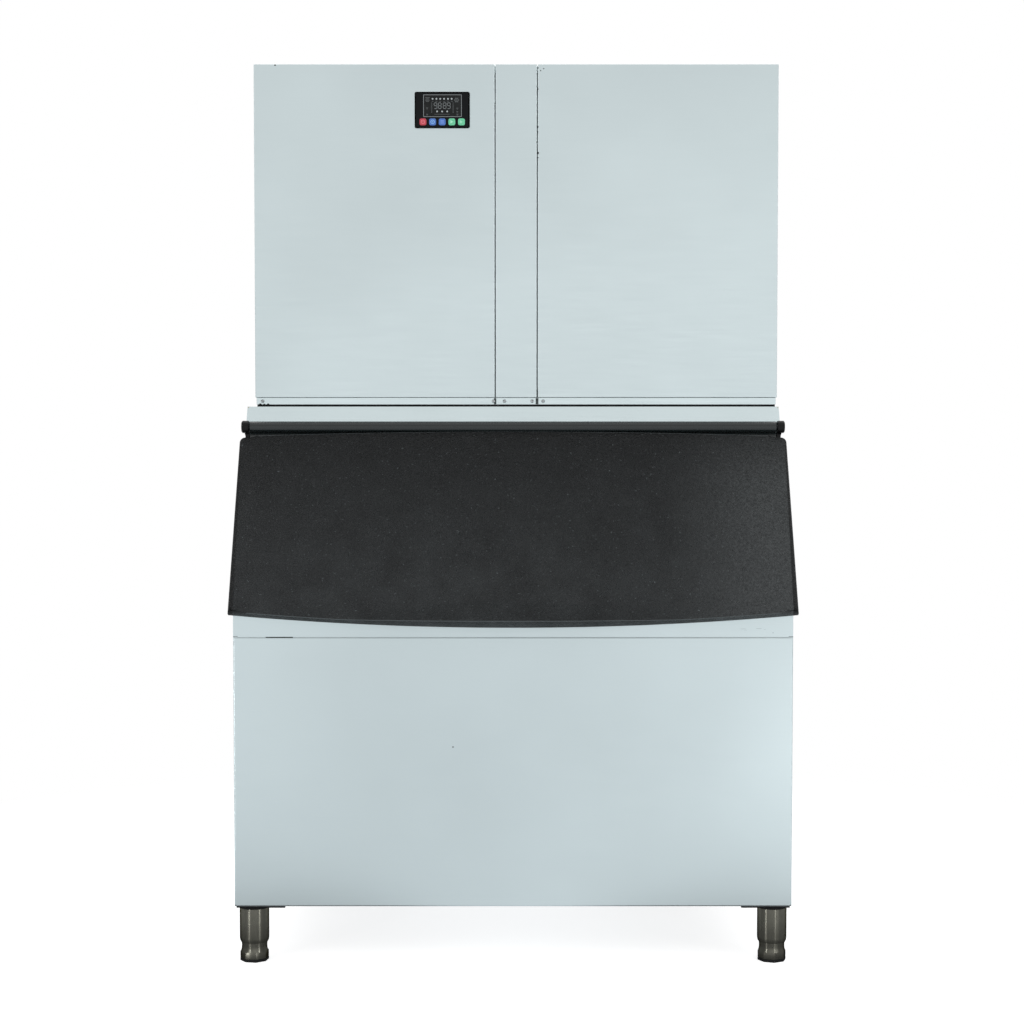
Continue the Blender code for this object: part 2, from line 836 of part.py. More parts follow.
# Legs
def build_leg(corner, side, end):
    """One leg: side is -1 left or 1 right, end is -1 front or 1 rear."""
    x = side * (bin_width / 2 - leg_inset_x)
    y = bin_depth / 2 + end * (bin_depth / 2 - leg_inset_y)
    plate_top = bin_base_z - clearance
    plate_low = plate_top - leg_plate_thickness
    outer_x = side * (bin_width / 2 - leg_plate_edge)
    inner_x = outer_x - side * leg_plate_width
    plate = box(
        "leg_plate_" + corner,
        (min(outer_x, inner_x), y - leg_plate_depth / 2, plate_low),
        (max(outer_x, inner_x), y + leg_plate_depth / 2, plate_top), plate_black, machine)
    bevel(plate, leg_plate_thickness / 4)
    tube_top = plate_low - clearance
    tube_inner = leg_tube_radius - leg_tube_wall
    tube_profile = [
        (0.0, tube_top),
        (leg_tube_radius, tube_top),
        (leg_tube_radius, leg_tube_bottom_z + leg_tube_wall),
        (leg_tube_radius - leg_tube_wall / 2, leg_tube_bottom_z),
        (tube_inner, leg_tube_bottom_z),
        (tube_inner, tube_top - leg_tube_wall),
        (0.0, tube_top - leg_tube_wall),
    ]
    turned("leg_tube_" + corner, tube_profile, nickel, machine, (x, y, 0.0))
    foot_axis = carrier("foot_axis_" + corner, (x, y, 0.0), machine)
    waist_z = (leg_tube_bottom_z + foot_hex_top_z) / 2 - foot_waist_drop
    foot_profile = [
        (0.0, foot_stem_top_z),
        (foot_stem_radius, foot_stem_top_z),
        (foot_stem_radius, leg_tube_bottom_z - foot_shoulder),
        (foot_waist_radius, waist_z),
        (foot_stem_radius, foot_hex_top_z + 2 * foot_step),
        (foot_flare_radius, foot_hex_top_z - foot_step),
        (foot_flare_radius, foot_pad_height + foot_step),
        (foot_pad_radius, 0.0),
        (0.0, 0.0),
    ]
    foot = turned("foot_" + corner, foot_profile, nickel, foot_axis, (0.0, 0.0, 0.0))
    hexagon = cylinder(
        "foot_hex_" + corner, foot_hex_radius, foot_hex_top_z - foot_pad_height - 2 * foot_step,
        (0.0, 0.0, (foot_hex_top_z + foot_pad_height) / 2), 'Z', None, foot_axis, 6)
    join(foot, hexagon)


build_leg("front_left", -1, -1)
build_leg("front_right", 1, -1)
build_leg("rear_left", -1, 1)
build_leg("rear_right", 1, 1)


# Hinge
def build_hinge():
    cylinder(
        "hinge_rod", hinge_rod_radius, hinge_rod_length, (0.0, 0.0, 0.0), 'X', steel,
        slope_frame)
    for side, name in ((-1, "hinge_bracket_left"), (1, "hinge_bracket_right")):
        inner = barrel_length / 2 + 5 * clearance
        middle = side * (inner + knuckle_length / 2)
        knuckle = cylinder(
            name, knuckle_radius, knuckle_length, (middle, 0.0, 0.0), 'X', hinge_plastic,
            slope_frame)
        seat = -hinge_stand + clearance
        root = knuckle_radius * math.cos(math.pi / 4)
        foot = [
            (-bracket_foot_bottom, seat),
            (bracket_foot_top, seat),
            (bracket_foot_top, seat + bracket_foot_thickness),
            (root, -root),
            (-root, -root),
            (-bracket_foot_bottom, seat + bracket_foot_thickness),
        ]
        arm_x = side * (inner + bracket_width / 2)
        arm = outline_solid(
            name + "_arm", [foot], bracket_width, 'YZ', None, slope_frame, (arm_x, 0.0, 0.0))
        join(knuckle, arm)
        bore_end = hinge_rod_length / 2 + running_gap
        bore = box_length(inner, bore_end)
        cutter = cylinder(
            name + "_bore", hinge_rod_radius + running_gap, bore,
            (side * (bore_end - bore / 2), 0.0, 0.0), 'X', None, slope_frame)
        cut(knuckle, cutter)


def box_length(inner, outer):
    """Length of a cutter from a little inside the inner end out to the outer end."""
    return outer - inner + through


build_hinge()


# Lid
def lid_face_point(across, down):
    """Point of the lid's face: across from -1 to 1, down from 0 at the rim to 1 at the edge."""
    x = across * lid_width / 2
    swell = max(0.0, 1.0 - (x / grip_half_width) ** 2)
    crease = lid_bottom(x) - grip_height_end - (grip_height - grip_height_end) * swell
    split = lid_face_rows / (lid_face_rows + lid_grip_rows)
    flare = grip_flare * swell
    if down <= split:
        s = lid_top(x) + (crease - lid_top(x)) * down / split
        out = lid_face_out
    else:
        grip = (down - split) / (1 - split)
        s = crease + (lid_bottom(x) - crease) * grip
        out = lid_face_out + flare * grip
    return Vector((x, -s, out))


def build_lid_shell():
    """Moulded lid: a grid bent to the face, its rim drawn back, then given its wall."""
    rows = lid_face_rows + lid_grip_rows
    bm = bmesh.new()
    bmesh.ops.create_grid(bm, x_segments=lid_columns, y_segments=rows, size=1.0)
    for vertex in bm.verts:
        vertex.co = lid_face_point(vertex.co.x, (1.0 - vertex.co.y) / 2)
    bmesh.ops.recalc_face_normals(bm, faces=bm.faces)
    if sum(face.normal.z for face in bm.faces) < 0:
        bmesh.ops.reverse_faces(bm, faces=bm.faces)
    border = [edge for edge in bm.edges if edge.is_boundary]
    drawn = bmesh.ops.extrude_edge_only(bm, edges=border)
    rim = [item for item in drawn['geom'] if isinstance(item, bmesh.types.BMVert)]
    for vertex in rim:
        vertex.co.z = -lid_rim_in
    half = lid_width / 2

    def at_side(vertex):
        return abs(vertex.co.x) > half - 1e-5

    def at_top(vertex):
        return abs(vertex.co.y + lid_top(vertex.co.x)) < 1e-5

    def at_bottom(vertex):
        return abs(vertex.co.y + lid_bottom(vertex.co.x)) < 1e-5

    def on_face(vertex):
        return vertex.co.z > -lid_rim_in + 1e-5

    top_corners = [
        edge for edge in bm.edges
        if all(at_side(v) and at_top(v) for v in edge.verts)
    ]
    bmesh.ops.bevel(
        bm, geom=top_corners, offset=lid_corner_radius, offset_type='OFFSET', segments=3,
        profile=0.5, affect='EDGES', material=-1)
    lower = [
        edge for edge in bm.edges
        if all(at_bottom(v) and on_face(v) for v in edge.verts)
    ]
    rounded = [
        edge for edge in bm.edges
        if all(on_face(v) for v in edge.verts) and len(edge.link_faces) == 2
        and edge not in lower and edge.calc_face_angle(0.0) > math.radians(50)
    ]
    bmesh.ops.bevel(
        bm, geom=rounded, offset=lid_edge_radius, offset_type='OFFSET', segments=3,
        profile=0.5, affect='EDGES', material=-1)
    mesh = mesh_from("lid_shell", bm)
    smooth(mesh, 40)
    shell = add_piece("lid_shell", mesh, lid_plastic, lid_axis)
    solidify(shell, lid_wall)
    barrel = cylinder(
        "lid_barrel", barrel_radius, barrel_length, (0.0, 0.0, 0.0), 'X', None, lid_axis)
    web = outline_solid(
        "lid_web", [web_outline()], lid_web_thickness, 'XY', None, lid_axis,
        (0.0, 0.0, -lid_web_depth + lid_web_thickness / 2))
    join(shell, barrel, web)
    bore = cylinder(
        "lid_bore", hinge_rod_radius + running_gap, barrel_length + 2 * through,
        (0.0, 0.0, 0.0), 'X', None, lid_axis)
    cut(shell, bore)


def web_outline():
    """Web between the barrel and the rim: straight above, arched along the rim below."""
    half = barrel_length / 2 - lid_corner_radius
    root = clearance
    points = [(half, -root), (-half, -root)]
    for step in range(rim_steps + 1):
        x = -half + 2 * half * step / rim_steps
        points.append((x, -(lid_top(x) + lid_wall / 2)))
    return points


def lid_outline(inset):
    """Outline of the lid moved in by inset, anticlockwise from its top left corner."""
    half = lid_width / 2 - inset
    chamfer = lid_corner_radius
    points = []
    for step in range(rim_steps + 1):
        x = (half - chamfer) * (1 - 2 * step / rim_steps)
        points.append((x, -(lid_top(x) + inset)))
    points.append((-half, -(lid_top(half) + inset + chamfer)))
    for step in range(rim_steps + 1):
        x = half * (2 * step / rim_steps - 1)
        points.append((x, -(lid_bottom(x) - inset)))
    points.append((half, -(lid_top(half) + inset + chamfer)))
    return points


def build_lid_liner():
    """Inner pan of the lid, with a hollow plug that reaches into the throat."""
    back = -lid_rim_in + clearance
    piece = outline_solid(
        "lid_liner", [lid_outline(lid_wall + 2 * clearance)], lid_liner_wall, 'XY',
        white_plastic, lid_axis, (0.0, 0.0, back + lid_liner_wall / 2))
    plug_width = mouth_width - 2 * plug_margin
    plug_height = mouth_bottom - mouth_top - 2 * plug_margin
    middle = -(mouth_top + mouth_bottom) / 2
    plug = outline_solid(
        "lid_plug", [rounded_rectangle(plug_width, plug_height, mouth_corner_radius)],
        plug_depth + lid_liner_wall / 2, 'XY', None, lid_axis,
        (0.0, middle, back + lid_liner_wall / 2 - (plug_depth + lid_liner_wall / 2) / 2))
    wall = 2 * lid_liner_wall
    hollow = outline_solid(
        "lid_plug_hollow",
        [rounded_rectangle(plug_width - wall, plug_height - wall, mouth_corner_radius - wall / 2)],
        plug_depth + lid_liner_wall, 'XY', None, lid_axis,
        (0.0, middle, back + lid_liner_wall + clearance - (plug_depth + lid_liner_wall) / 2))
    join(piece, plug)
    cut(piece, hollow)


def build_lid_gasket():
    seat = -lid_rim_in
    flange_face = -hinge_stand + clearance + throat_flange_thickness
    thickness = seat - flange_face - clearance
    ring = [mouth_outline(gasket_margin + gasket_width), mouth_outline(gasket_margin)]
    outline_solid(
        "lid_gasket", ring, thickness, 'XY', rubber, lid_axis,
        (0.0, 0.0, seat - thickness / 2))


build_lid_shell()
build_lid_liner()
build_lid_gasket()


# Head casing
casing_back = head_depth - sheet - clearance


def build_head_seal():
    """Strip of foam rubber between the head and the bin."""
    width = head_width - 2 * head_seal_edge
    depth = head_depth - 2 * head_seal_edge
    middle = (0.0, head_depth / 2)
    inner_width = width - 2 * head_seal_width
    inner_depth = depth - 2 * head_seal_width
    ring = [
        rounded_rectangle(width, depth, head_seal_corner, middle, 2),
        rounded_rectangle(inner_width, inner_depth, head_seal_corner / 2, middle, 2),
    ]
    thickness = head_seal_height - 2 * clearance
    outline_solid(
        "head_seal", ring, thickness, 'XY', rubber, head, (0.0, 0.0, -head_seal_height / 2))


def build_base_tray():
    """Floor of the head with its rail, and the opening over the bin."""
    half = head_width / 2 - rail_end
    tray = pan(
        "head_base_tray", (-half, rail_step, 0.0),
        (half, casing_back, rail_height), 2, 1, tray_sheet, stainless, head)
    opening = box(
        "tray_drop_cutter", (drop_left, drop_front, -through),
        (drop_right, drop_back, rail_height + through), None, head)
    cut(tray, opening)


door_bottom = rail_height + 2 * clearance
door_inner_edge = strip_width / 2 + door_gap


def control_hole_size():
    width = control_width - 2 * control_body_margin
    height = control_height - 2 * control_body_margin_z
    return width, height


def build_doors():
    """Front panels of the head, folded back on all four sides, and the strip between them."""
    half = head_width / 2
    left = pan(
        "door_left", (-half, 0.0, door_bottom), (-door_inner_edge, door_depth, head_height),
        1, 1, sheet, stainless, head, door_edge_radius)
    pan(
        "door_right", (door_inner_edge, 0.0, door_bottom), (half, door_depth, head_height),
        1, 1, sheet, stainless, head, door_edge_radius)
    pan(
        "centre_strip", (-strip_width / 2, 0.0, door_bottom),
        (strip_width / 2, door_depth, head_height), 1, 1, sheet, stainless, head,
        door_edge_radius)
    width, height = control_hole_size()
    hole = box(
        "door_control_cutter",
        (control_x - width / 2 - clearance, -through, control_z - height / 2 - clearance),
        (control_x + width / 2 + clearance, through, control_z + height / 2 + clearance),
        None, head)
    cut(left, hole)


def slot_cutter(name, low, high, count, pitch, parent):
    """Row of slots, one above the other, as one cutter."""
    slots = box(name, low, high, None, parent)
    row = slots.modifiers.new("row", 'ARRAY')
    row.use_relative_offset = False
    row.use_constant_offset = True
    row.constant_offset_displace = (0.0, 0.0, pitch)
    row.count = count
    return slots


def build_casing():
    """Sides, back, roof and the wall between the dry and the wet side."""
    half = head_width / 2
    front = door_depth + clearance
    low = clearance
    high = head_height - roof_flange - clearance
    left = box(
        "head_side_left", (-half, front, low), (-half + sheet, casing_back, high), stainless, head)
    box("head_side_right", (half - sheet, front, low), (half, casing_back, high), stainless, head)
    side_slots = slot_cutter(
        "side_vent_cutter", (-half - through, side_vent_front, side_vent_low),
        (-half + through, side_vent_back, side_vent_low + vent_slot_height), vent_slot_count,
        vent_slot_pitch, head)
    cut(left, side_slots)
    back_panel = box(
        "head_back", (-half, head_depth - sheet, low), (half, head_depth, high), stainless, head)
    back_slots = slot_cutter(
        "back_vent_cutter",
        (condenser_left + back_vent_side, head_depth - through, back_vent_low),
        (condenser_left + condenser_width - back_vent_side, head_depth + through,
         back_vent_low + vent_slot_height),
        vent_slot_count, vent_slot_pitch, head)
    cut(back_panel, back_slots)
    for name, x, z, radius in (
            ("gland_cutter", gland_x, gland_z, gland_radius),
            ("inlet_cutter", inlet_x, inlet_z, inlet_radius)):
        hole = cylinder(
            name, radius + clearance, 2 * through, (x, head_depth, z), 'Y', None, head,
            small_steps)
        cut(back_panel, hole)
    pan(
        "head_roof", (-half, front, head_height - roof_flange), (half, head_depth, head_height),
        2, -1, sheet, stainless, head, door_edge_radius)
    box(
        "partition", (partition_x - sheet / 2, front, tray_sheet + clearance),
        (partition_x + sheet / 2, casing_back - tray_sheet - clearance, high), galvanised, head)


build_head_seal()
build_base_tray()
build_doors()
build_casing()


# Control plate
def build_control_bezel():
    """Glossy plate with a body behind it that passes through the door."""
    front = -control_rim
    plate = outline_solid(
        "control_bezel",
        [rounded_rectangle(control_width, control_height, control_corner_radius)],
        control_rim - clearance, 'XZ', gloss_black, head,
        (control_x, (front - clearance) / 2, control_z))
    width, height = control_hole_size()
    body = box(
        "control_body", (control_x - width / 2, front + control_plate / 2, control_z - height / 2),
        (control_x + width / 2, control_body_depth, control_z + height / 2), None, head)
    inner_width = width / 2 - control_wall
    inner_height = height / 2 - control_wall
    hollow = box(
        "control_hollow",
        (control_x - inner_width, front + control_plate, control_z - inner_height),
        (control_x + inner_width, control_body_depth + through, control_z + inner_height), None, head)
    window_hole = box(
        "window_hole",
        (control_x + window_x - window_width / 2, -through,
         control_z + window_z - window_height / 2),
        (control_x + window_x + window_width / 2, through,
         control_z + window_z + window_height / 2),
        None, head)
    join(plate, body)
    cut(plate, hollow, window_hole)
    for number in range(key_count):
        cut(plate, key_solid("key_hole_%d" % number, number, 2 * through, 0.0, clearance, None))


def key_middle(number):
    return control_x + (number - (key_count - 1) / 2) * key_pitch, control_z + key_z


def key_solid(name, number, depth, y, margin, finish):
    x, z = key_middle(number)
    size = key_size + 2 * margin
    outline = rounded_rectangle(size, size, key_corner_radius + margin, steps=3)
    return outline_solid(name, [outline], depth, 'XZ', finish, head, (x, y, z))


def build_keys():
    """Five keys: each cap stands a little proud and is held by its flange behind the plate."""
    finishes = (
        ("key_red", key_red), ("key_blue_left", key_blue), ("key_blue_right", key_blue),
        ("key_green_left", key_green), ("key_green_right", key_green))
    front = -control_rim - key_proud
    back = -control_rim + control_plate + clearance
    for number, (name, finish) in enumerate(finishes):
        cap = key_solid(name, number, back - front + key_flange / 2, 0.0, 0.0, finish)
        cap.location.y = (front + back + key_flange / 2) / 2
        flange = key_solid(
            name + "_flange", number, key_flange, back + key_flange / 2, key_flange, None)
        join(cap, flange)


def build_window():
    """Display lens, flush in the plate and held by its flange behind it."""
    x = control_x + window_x
    z = control_z + window_z
    front = -control_rim + clearance
    back = -control_rim + control_plate + clearance
    half_x = window_width / 2 - clearance
    half_z = window_height / 2 - clearance
    lens = box(
        "display_window", (x - half_x, front, z - half_z),
        (x + half_x, back + key_flange / 2, z + half_z), display_glass, head)
    flange = box(
        "window_flange", (x - half_x - lens_rim, back, z - half_z - lens_rim),
        (x + half_x + lens_rim, back + key_flange, z + half_z + lens_rim), None, head)
    join(lens, flange)


def build_control_board():
    """Circuit board in the plate's body, with the display block and the connectors."""
    width, height = control_hole_size()
    half_x = width / 2 - control_wall - clearance
    half_z = height / 2 - control_wall - clearance
    board = box(
        "control_board", (control_x - half_x, board_y, control_z - half_z),
        (control_x + half_x, board_y + board_thickness, control_z + half_z), board_green, head)
    block_y = -control_rim + control_plate + key_flange + 3 * clearance
    block_x = window_width * display_block_share / 2
    block_z = window_height * display_block_share / 2
    x = control_x + window_x
    z = control_z + window_z
    display = box(
        "display_block", (x - block_x, block_y, z - block_z),
        (x + block_x, board_y + board_thickness / 2, z + block_z), None, head)
    connectors = slot_cutter(
        "board_connectors",
        (control_x - connector_reach, board_y + board_thickness / 2, control_z + connector_low),
        (control_x + connector_reach, board_y + connector_height, control_z + connector_high),
        connector_count, connector_pitch, head)
    join(board, display, connectors)


build_control_bezel()
build_keys()
build_window()
build_control_board()


# Machine side
def build_compressor():
    """Welded can of the compressor on its foot plate."""
    floor = tray_sheet + clearance
    base = floor + compressor_foot_thickness
    radius = compressor_radius
    top = base + compressor_height
    profile = [(0.0, top)]
    for step in range(1, arc_steps + 1):
        angle = math.pi / 2 * step / arc_steps
        profile.append(
            (radius * math.sin(angle), top - compressor_dome * (1 - math.cos(angle))))
    seam_z = base + compressor_height * compressor_seam_share
    seam_radius = radius + compressor_seam
    profile += [
        (radius, seam_z + compressor_seam), (seam_radius, seam_z + compressor_seam / 2),
        (seam_radius, seam_z - compressor_seam / 2), (radius, seam_z - compressor_seam),
        (radius, base + compressor_base),
        (radius * compressor_base_share, base - compressor_foot_thickness / 2),
        (0.0, base - compressor_foot_thickness / 2),
    ]
    can = turned(
        "compressor", profile, compressor_black, head, (compressor_x, compressor_y, 0.0))
    foot = outline_solid(
        "compressor_foot",
        [rounded_rectangle(compressor_foot, compressor_foot, compressor_foot_corner, steps=3)],
        compressor_foot_thickness, 'XY', None, head,
        (compressor_x, compressor_y, floor + compressor_foot_thickness / 2))
    terminals = box(
        "terminal_box",
        (compressor_x - terminal_width / 2, compressor_y - radius - terminal_reach,
         base + terminal_low),
        (compressor_x + terminal_width / 2, compressor_y - radius / 2,
         base + terminal_low + terminal_height), None, head)
    join(can, foot, terminals)


condenser_back = head_depth - sheet - condenser_back_gap
condenser_front = condenser_back - condenser_depth
shroud_back = condenser_front - clearance
shroud_front = shroud_back - shroud_depth
fan_x = condenser_left + condenser_width / 2
fan_z = tray_sheet + clearance + condenser_height / 2
fan_y = shroud_front + fan_hub_depth / 2 + fan_front_gap


def build_condenser():
    """Fin block: a core with upright fins on both faces, drawn as one outline."""
    pitch = condenser_width / condenser_fins
    half_depth = condenser_depth / 2
    half_core = condenser_core / 2
    points = []
    for side in (-1, 1):
        for number in range(condenser_fins):
            order = number if side < 0 else condenser_fins - 1 - number
            low = order * pitch
            high = low + condenser_fin
            if order == condenser_fins - 1:
                low = condenser_width - condenser_fin
                high = condenser_width
            near, far = (low, high) if side < 0 else (high, low)
            points += [
                (near, side * half_core), (near, side * half_depth),
                (far, side * half_depth), (far, side * half_core)]
    z = tray_sheet + clearance + condenser_height / 2
    outline_solid(
        "condenser", [points], condenser_height, 'XY', aluminium, head,
        (condenser_left, condenser_back - half_depth, z))


def build_fan():
    """Shroud with its collar, the motor on its arms and the fan on the motor's shaft."""
    low_z = tray_sheet + clearance
    shroud = pan(
        "fan_shroud", (condenser_left, shroud_front, low_z),
        (condenser_left + condenser_width, shroud_back, low_z + condenser_height),
        1, 1, shroud_wall, galvanised, head)
    opening = cylinder(
        "fan_opening", fan_opening_radius, 2 * through, (fan_x, shroud_front, fan_z), 'Y', None,
        head)
    cut(shroud, opening)
    inner = fan_opening_radius - shroud_wall
    collar_profile = [
        (inner, fan_collar_depth),
        (fan_opening_radius + shroud_wall / 3, fan_collar_depth),
        (fan_opening_radius + shroud_wall / 3, shroud_wall / 2),
        (inner, shroud_wall / 2),
        (inner, fan_collar_depth),
    ]
    collar = turned(
        "fan_collar", collar_profile, None, head, (fan_x, shroud_front, fan_z), 'Y')
    join(shroud, collar)

    arm_back = shroud_front - clearance
    motor = turned(
        "fan_motor",
        [(0.0, 0.0), (motor_radius - motor_edge, 0.0), (motor_radius, -motor_edge),
         (motor_radius, -motor_depth + motor_shoulder),
         (motor_radius - motor_shoulder, -motor_depth), (0.0, -motor_depth)],
        steel, head, (fan_x, arm_back, fan_z), 'Y')
    shaft_length = fan_y + fan_hub_depth / 2 - arm_back + fan_front_gap
    shaft = cylinder(
        "motor_shaft", fan_shaft_radius, shaft_length + motor_edge,
        (fan_x, arm_back + (shaft_length - motor_edge) / 2, fan_z), 'Y', None, head, small_steps)
    join(motor, shaft)
    for number in range(motor_arm_count):
        angle = math.pi / 2 + 2 * math.pi * number / motor_arm_count
        reach = (motor_arm_reach + motor_radius * 0.5) / 2
        arm_size = (motor_arm_reach - motor_radius * 0.5, motor_arm_thickness, motor_arm_width)
        arm = add_piece(
            "motor_arm_%d" % number, mesh_from("motor_arm", box_bmesh(arm_size)), None, head,
            (fan_x + reach * math.cos(angle), arm_back - motor_arm_thickness / 2,
             fan_z + reach * math.sin(angle)),
            (0.0, -angle, 0.0))
        join(motor, arm)

    hub = turned(
        "fan_blade",
        [(fan_shaft_radius + running_gap, fan_hub_depth / 2),
         (fan_hub_radius - fan_hub_edge, fan_hub_depth / 2),
         (fan_hub_radius, fan_hub_depth / 2 - fan_hub_edge), (fan_hub_radius, -fan_hub_depth / 2),
         (fan_shaft_radius + running_gap, -fan_hub_depth / 2),
         (fan_shaft_radius + running_gap, fan_hub_depth / 2)],
        aluminium, head, (fan_x, fan_y, fan_z), 'Y')
    for number in range(fan_blade_count):
        angle = 2 * math.pi * number / fan_blade_count
        blade = add_piece(
            "blade_%d" % number, blade_mesh("blade_%d" % number, angle), None, head,
            (fan_x, fan_y, fan_z))
        join(hub, blade)


def blade_mesh(name, around):
    """One blade: a grid twisted along its length, given its wall, turned about the fan's axis."""
    bm = bmesh.new()
    bmesh.ops.create_grid(bm, x_segments=5, y_segments=3, size=0.5)
    root = fan_hub_radius * 0.8
    for vertex in bm.verts:
        out = vertex.co.x + 0.5
        chord = vertex.co.y * fan_blade_chord * (0.55 + 0.45 * out)
        reach = root + (math.sqrt(fan_radius ** 2 - chord ** 2) - root) * out
        pitch = fan_blade_pitch * (1.3 - 0.5 * out)
        lean = chord * math.sin(pitch) * 0.6
        vertex.co = Vector((reach, lean, chord))
    bmesh.ops.solidify(bm, geom=bm.faces[:], thickness=fan_blade_thickness)
    bmesh.ops.recalc_face_normals(bm, faces=bm.faces)
    bmesh.ops.rotate(
        bm, verts=bm.verts, cent=(0.0, 0.0, 0.0), matrix=Matrix.Rotation(around, 3, 'Y'))
    return mesh_from(name, bm)


build_compressor()
build_condenser()
build_fan()


# Ice making side
def build_trough():
    """Water trough under the evaporator, with the pin that carries the float's arm."""
    floor = tray_sheet + clearance
    trough = pan(
        "water_trough", (trough_left, trough_front, floor),
        (trough_right, trough_back, floor + trough_height), 2, 1, trough_wall,
        white_plastic, head)
    pin_back = trough_back - trough_wall / 2
    pin = cylinder(
        "float_pin", float_pin_radius, float_pin_length,
        (float_pivot_x, pin_back - float_pin_length / 2, float_pivot_z), 'Y', None, head,
        small_steps)
    join(trough, pin)


trough_rim = tray_sheet + clearance + trough_height


def build_evaporator_frame():
    """Side plates on the trough's ends, joined by a bar, holding evaporator, tube and curtain."""
    low = trough_rim + clearance
    frame = box(
        "evaporator_frame", (trough_left, frame_front, low),
        (trough_right, frame_back, frame_top), white_plastic, head)
    gap = box(
        "frame_gap", (trough_left + frame_plate, frame_front - through, low - through),
        (trough_right - frame_plate, frame_back + through, frame_top - frame_bar), None, head)
    middle = (trough_left + trough_right) / 2
    length = trough_right - trough_left + 2 * through
    pivot = cylinder(
        "curtain_pivot_hole", curtain_pin_radius + running_gap, length,
        (middle, curtain_y, curtain_pivot_z), 'X', None, head, small_steps)
    tube_hole = cylinder(
        "spray_tube_hole", spray_tube_radius + clearance, length,
        (middle, spray_tube_y, spray_tube_z), 'X', None, head)
    cut(frame, gap, pivot, tube_hole)


def build_evaporator():
    """Freezing plate: a block with a grid of square pockets, and the coolant tube behind."""
    left = trough_left + frame_plate + clearance
    right = trough_right - frame_plate - clearance
    height = pocket_rows * pocket_pitch + 2 * evaporator_border
    plate = box(
        "evaporator", (left, evaporator_y, evaporator_bottom),
        (right, evaporator_y + evaporator_depth, evaporator_bottom + height), copper, head)
    grid_left = (left + right - pocket_columns * pocket_pitch) / 2 + (pocket_pitch - pocket_size) / 2
    grid_low = evaporator_bottom + evaporator_border + (pocket_pitch - pocket_size) / 2
    pockets = slot_cutter(
        "pocket_cutter", (grid_left, evaporator_y - through, grid_low),
        (grid_left + pocket_size, evaporator_y + pocket_depth, grid_low + pocket_size),
        pocket_rows, pocket_pitch, head)
    columns = pockets.modifiers.new("columns", 'ARRAY')
    columns.use_relative_offset = False
    columns.use_constant_offset = True
    columns.constant_offset_displace = (pocket_pitch, 0.0, 0.0)
    columns.count = pocket_columns
    cut(plate, pockets)
    tube = add_piece(
        "coolant_tube", tube_mesh("coolant_tube", coolant_path(left, right, height),
                                  coolant_tube_radius), None, head)
    join(plate, tube)


def coolant_path(left, right, height):
    """Serpentine along the back of the plate, with round bends."""
    y = evaporator_y + evaporator_depth + coolant_tube_radius * 0.7
    rise = (height - 2 * coolant_margin) / (coolant_passes - 1)
    bend = rise / 2
    near = left + coolant_margin + bend
    far = right - coolant_margin - bend
    points = []
    for row in range(coolant_passes):
        z = evaporator_bottom + coolant_margin + row * rise
        start, end, way = (near, far, 1) if row % 2 == 0 else (far, near, -1)
        points += [(start, y, z), (end, y, z)]
        if row == coolant_passes - 1:
            break
        for step in range(1, coolant_bend_steps):
            angle = math.pi * step / coolant_bend_steps
            points.append((
                end + way * bend * math.sin(angle), y, z + bend * (1 - math.cos(angle))))
    return points


def build_curtain():
    """Water curtain that hangs in front of the pockets on two pins and swings to the front."""
    left = trough_left + frame_plate + curtain_side_gap
    right = trough_right - frame_plate - curtain_side_gap
    x = (left + right) / 2
    low = curtain_bottom - curtain_pivot_z
    half_width = (right - left) / 2
    curtain = add_piece(
        "water_curtain",
        mesh_from("water_curtain", box_bmesh(
            (right - left, curtain_thickness, curtain_top_height - low))),
        clear_plastic, head, (x, curtain_y, curtain_pivot_z))
    curtain.data.transform(Matrix.Translation((0.0, 0.0, (curtain_top_height + low) / 2)))
    length = curtain_side_gap + frame_plate + 2 * curtain_pin_radius
    for side, name in ((-1, "curtain_pin_left"), (1, "curtain_pin_right")):
        pin_x = x + side * (half_width + length / 2 - 2 * curtain_pin_radius)
        pin = cylinder(
            name, curtain_pin_radius, length, (pin_x, curtain_y, curtain_pivot_z), 'X', None,
            head, small_steps)
        join(curtain, pin)
    stiffener = box(
        "curtain_stiffener", (left, curtain_y - curtain_thickness * 2, curtain_bottom),
        (right, curtain_y, curtain_bottom + curtain_rib), None, head)
    join(curtain, stiffener)


def build_spray_tube():
    """Tube that spreads the water over the plate, with a row of holes on its underside."""
    left = trough_left - spray_tube_overhang
    right = trough_right + spray_tube_overhang
    tube = cylinder(
        "spray_tube", spray_tube_radius, right - left,
        ((left + right) / 2, spray_tube_y, spray_tube_z), 'X', white_plastic, head)
    bore = cylinder(
        "spray_bore", spray_tube_radius - spray_tube_wall, right - left,
        ((left + right) / 2 + spray_tube_wall, spray_tube_y, spray_tube_z), 'X', None, head)
    cut(tube, bore)
    first = trough_left + frame_plate + pocket_pitch
    drill = cylinder(
        "spray_holes", spray_hole_radius, spray_tube_radius * 1.5,
        (first, spray_tube_y, spray_tube_z - spray_tube_radius), 'Z', None, head, hole_steps)
    row = drill.modifiers.new("row", 'ARRAY')
    row.use_relative_offset = False
    row.use_constant_offset = True
    row.constant_offset_displace = (pocket_pitch, 0.0, 0.0)
    row.count = pocket_columns - 1
    cut(tube, drill)


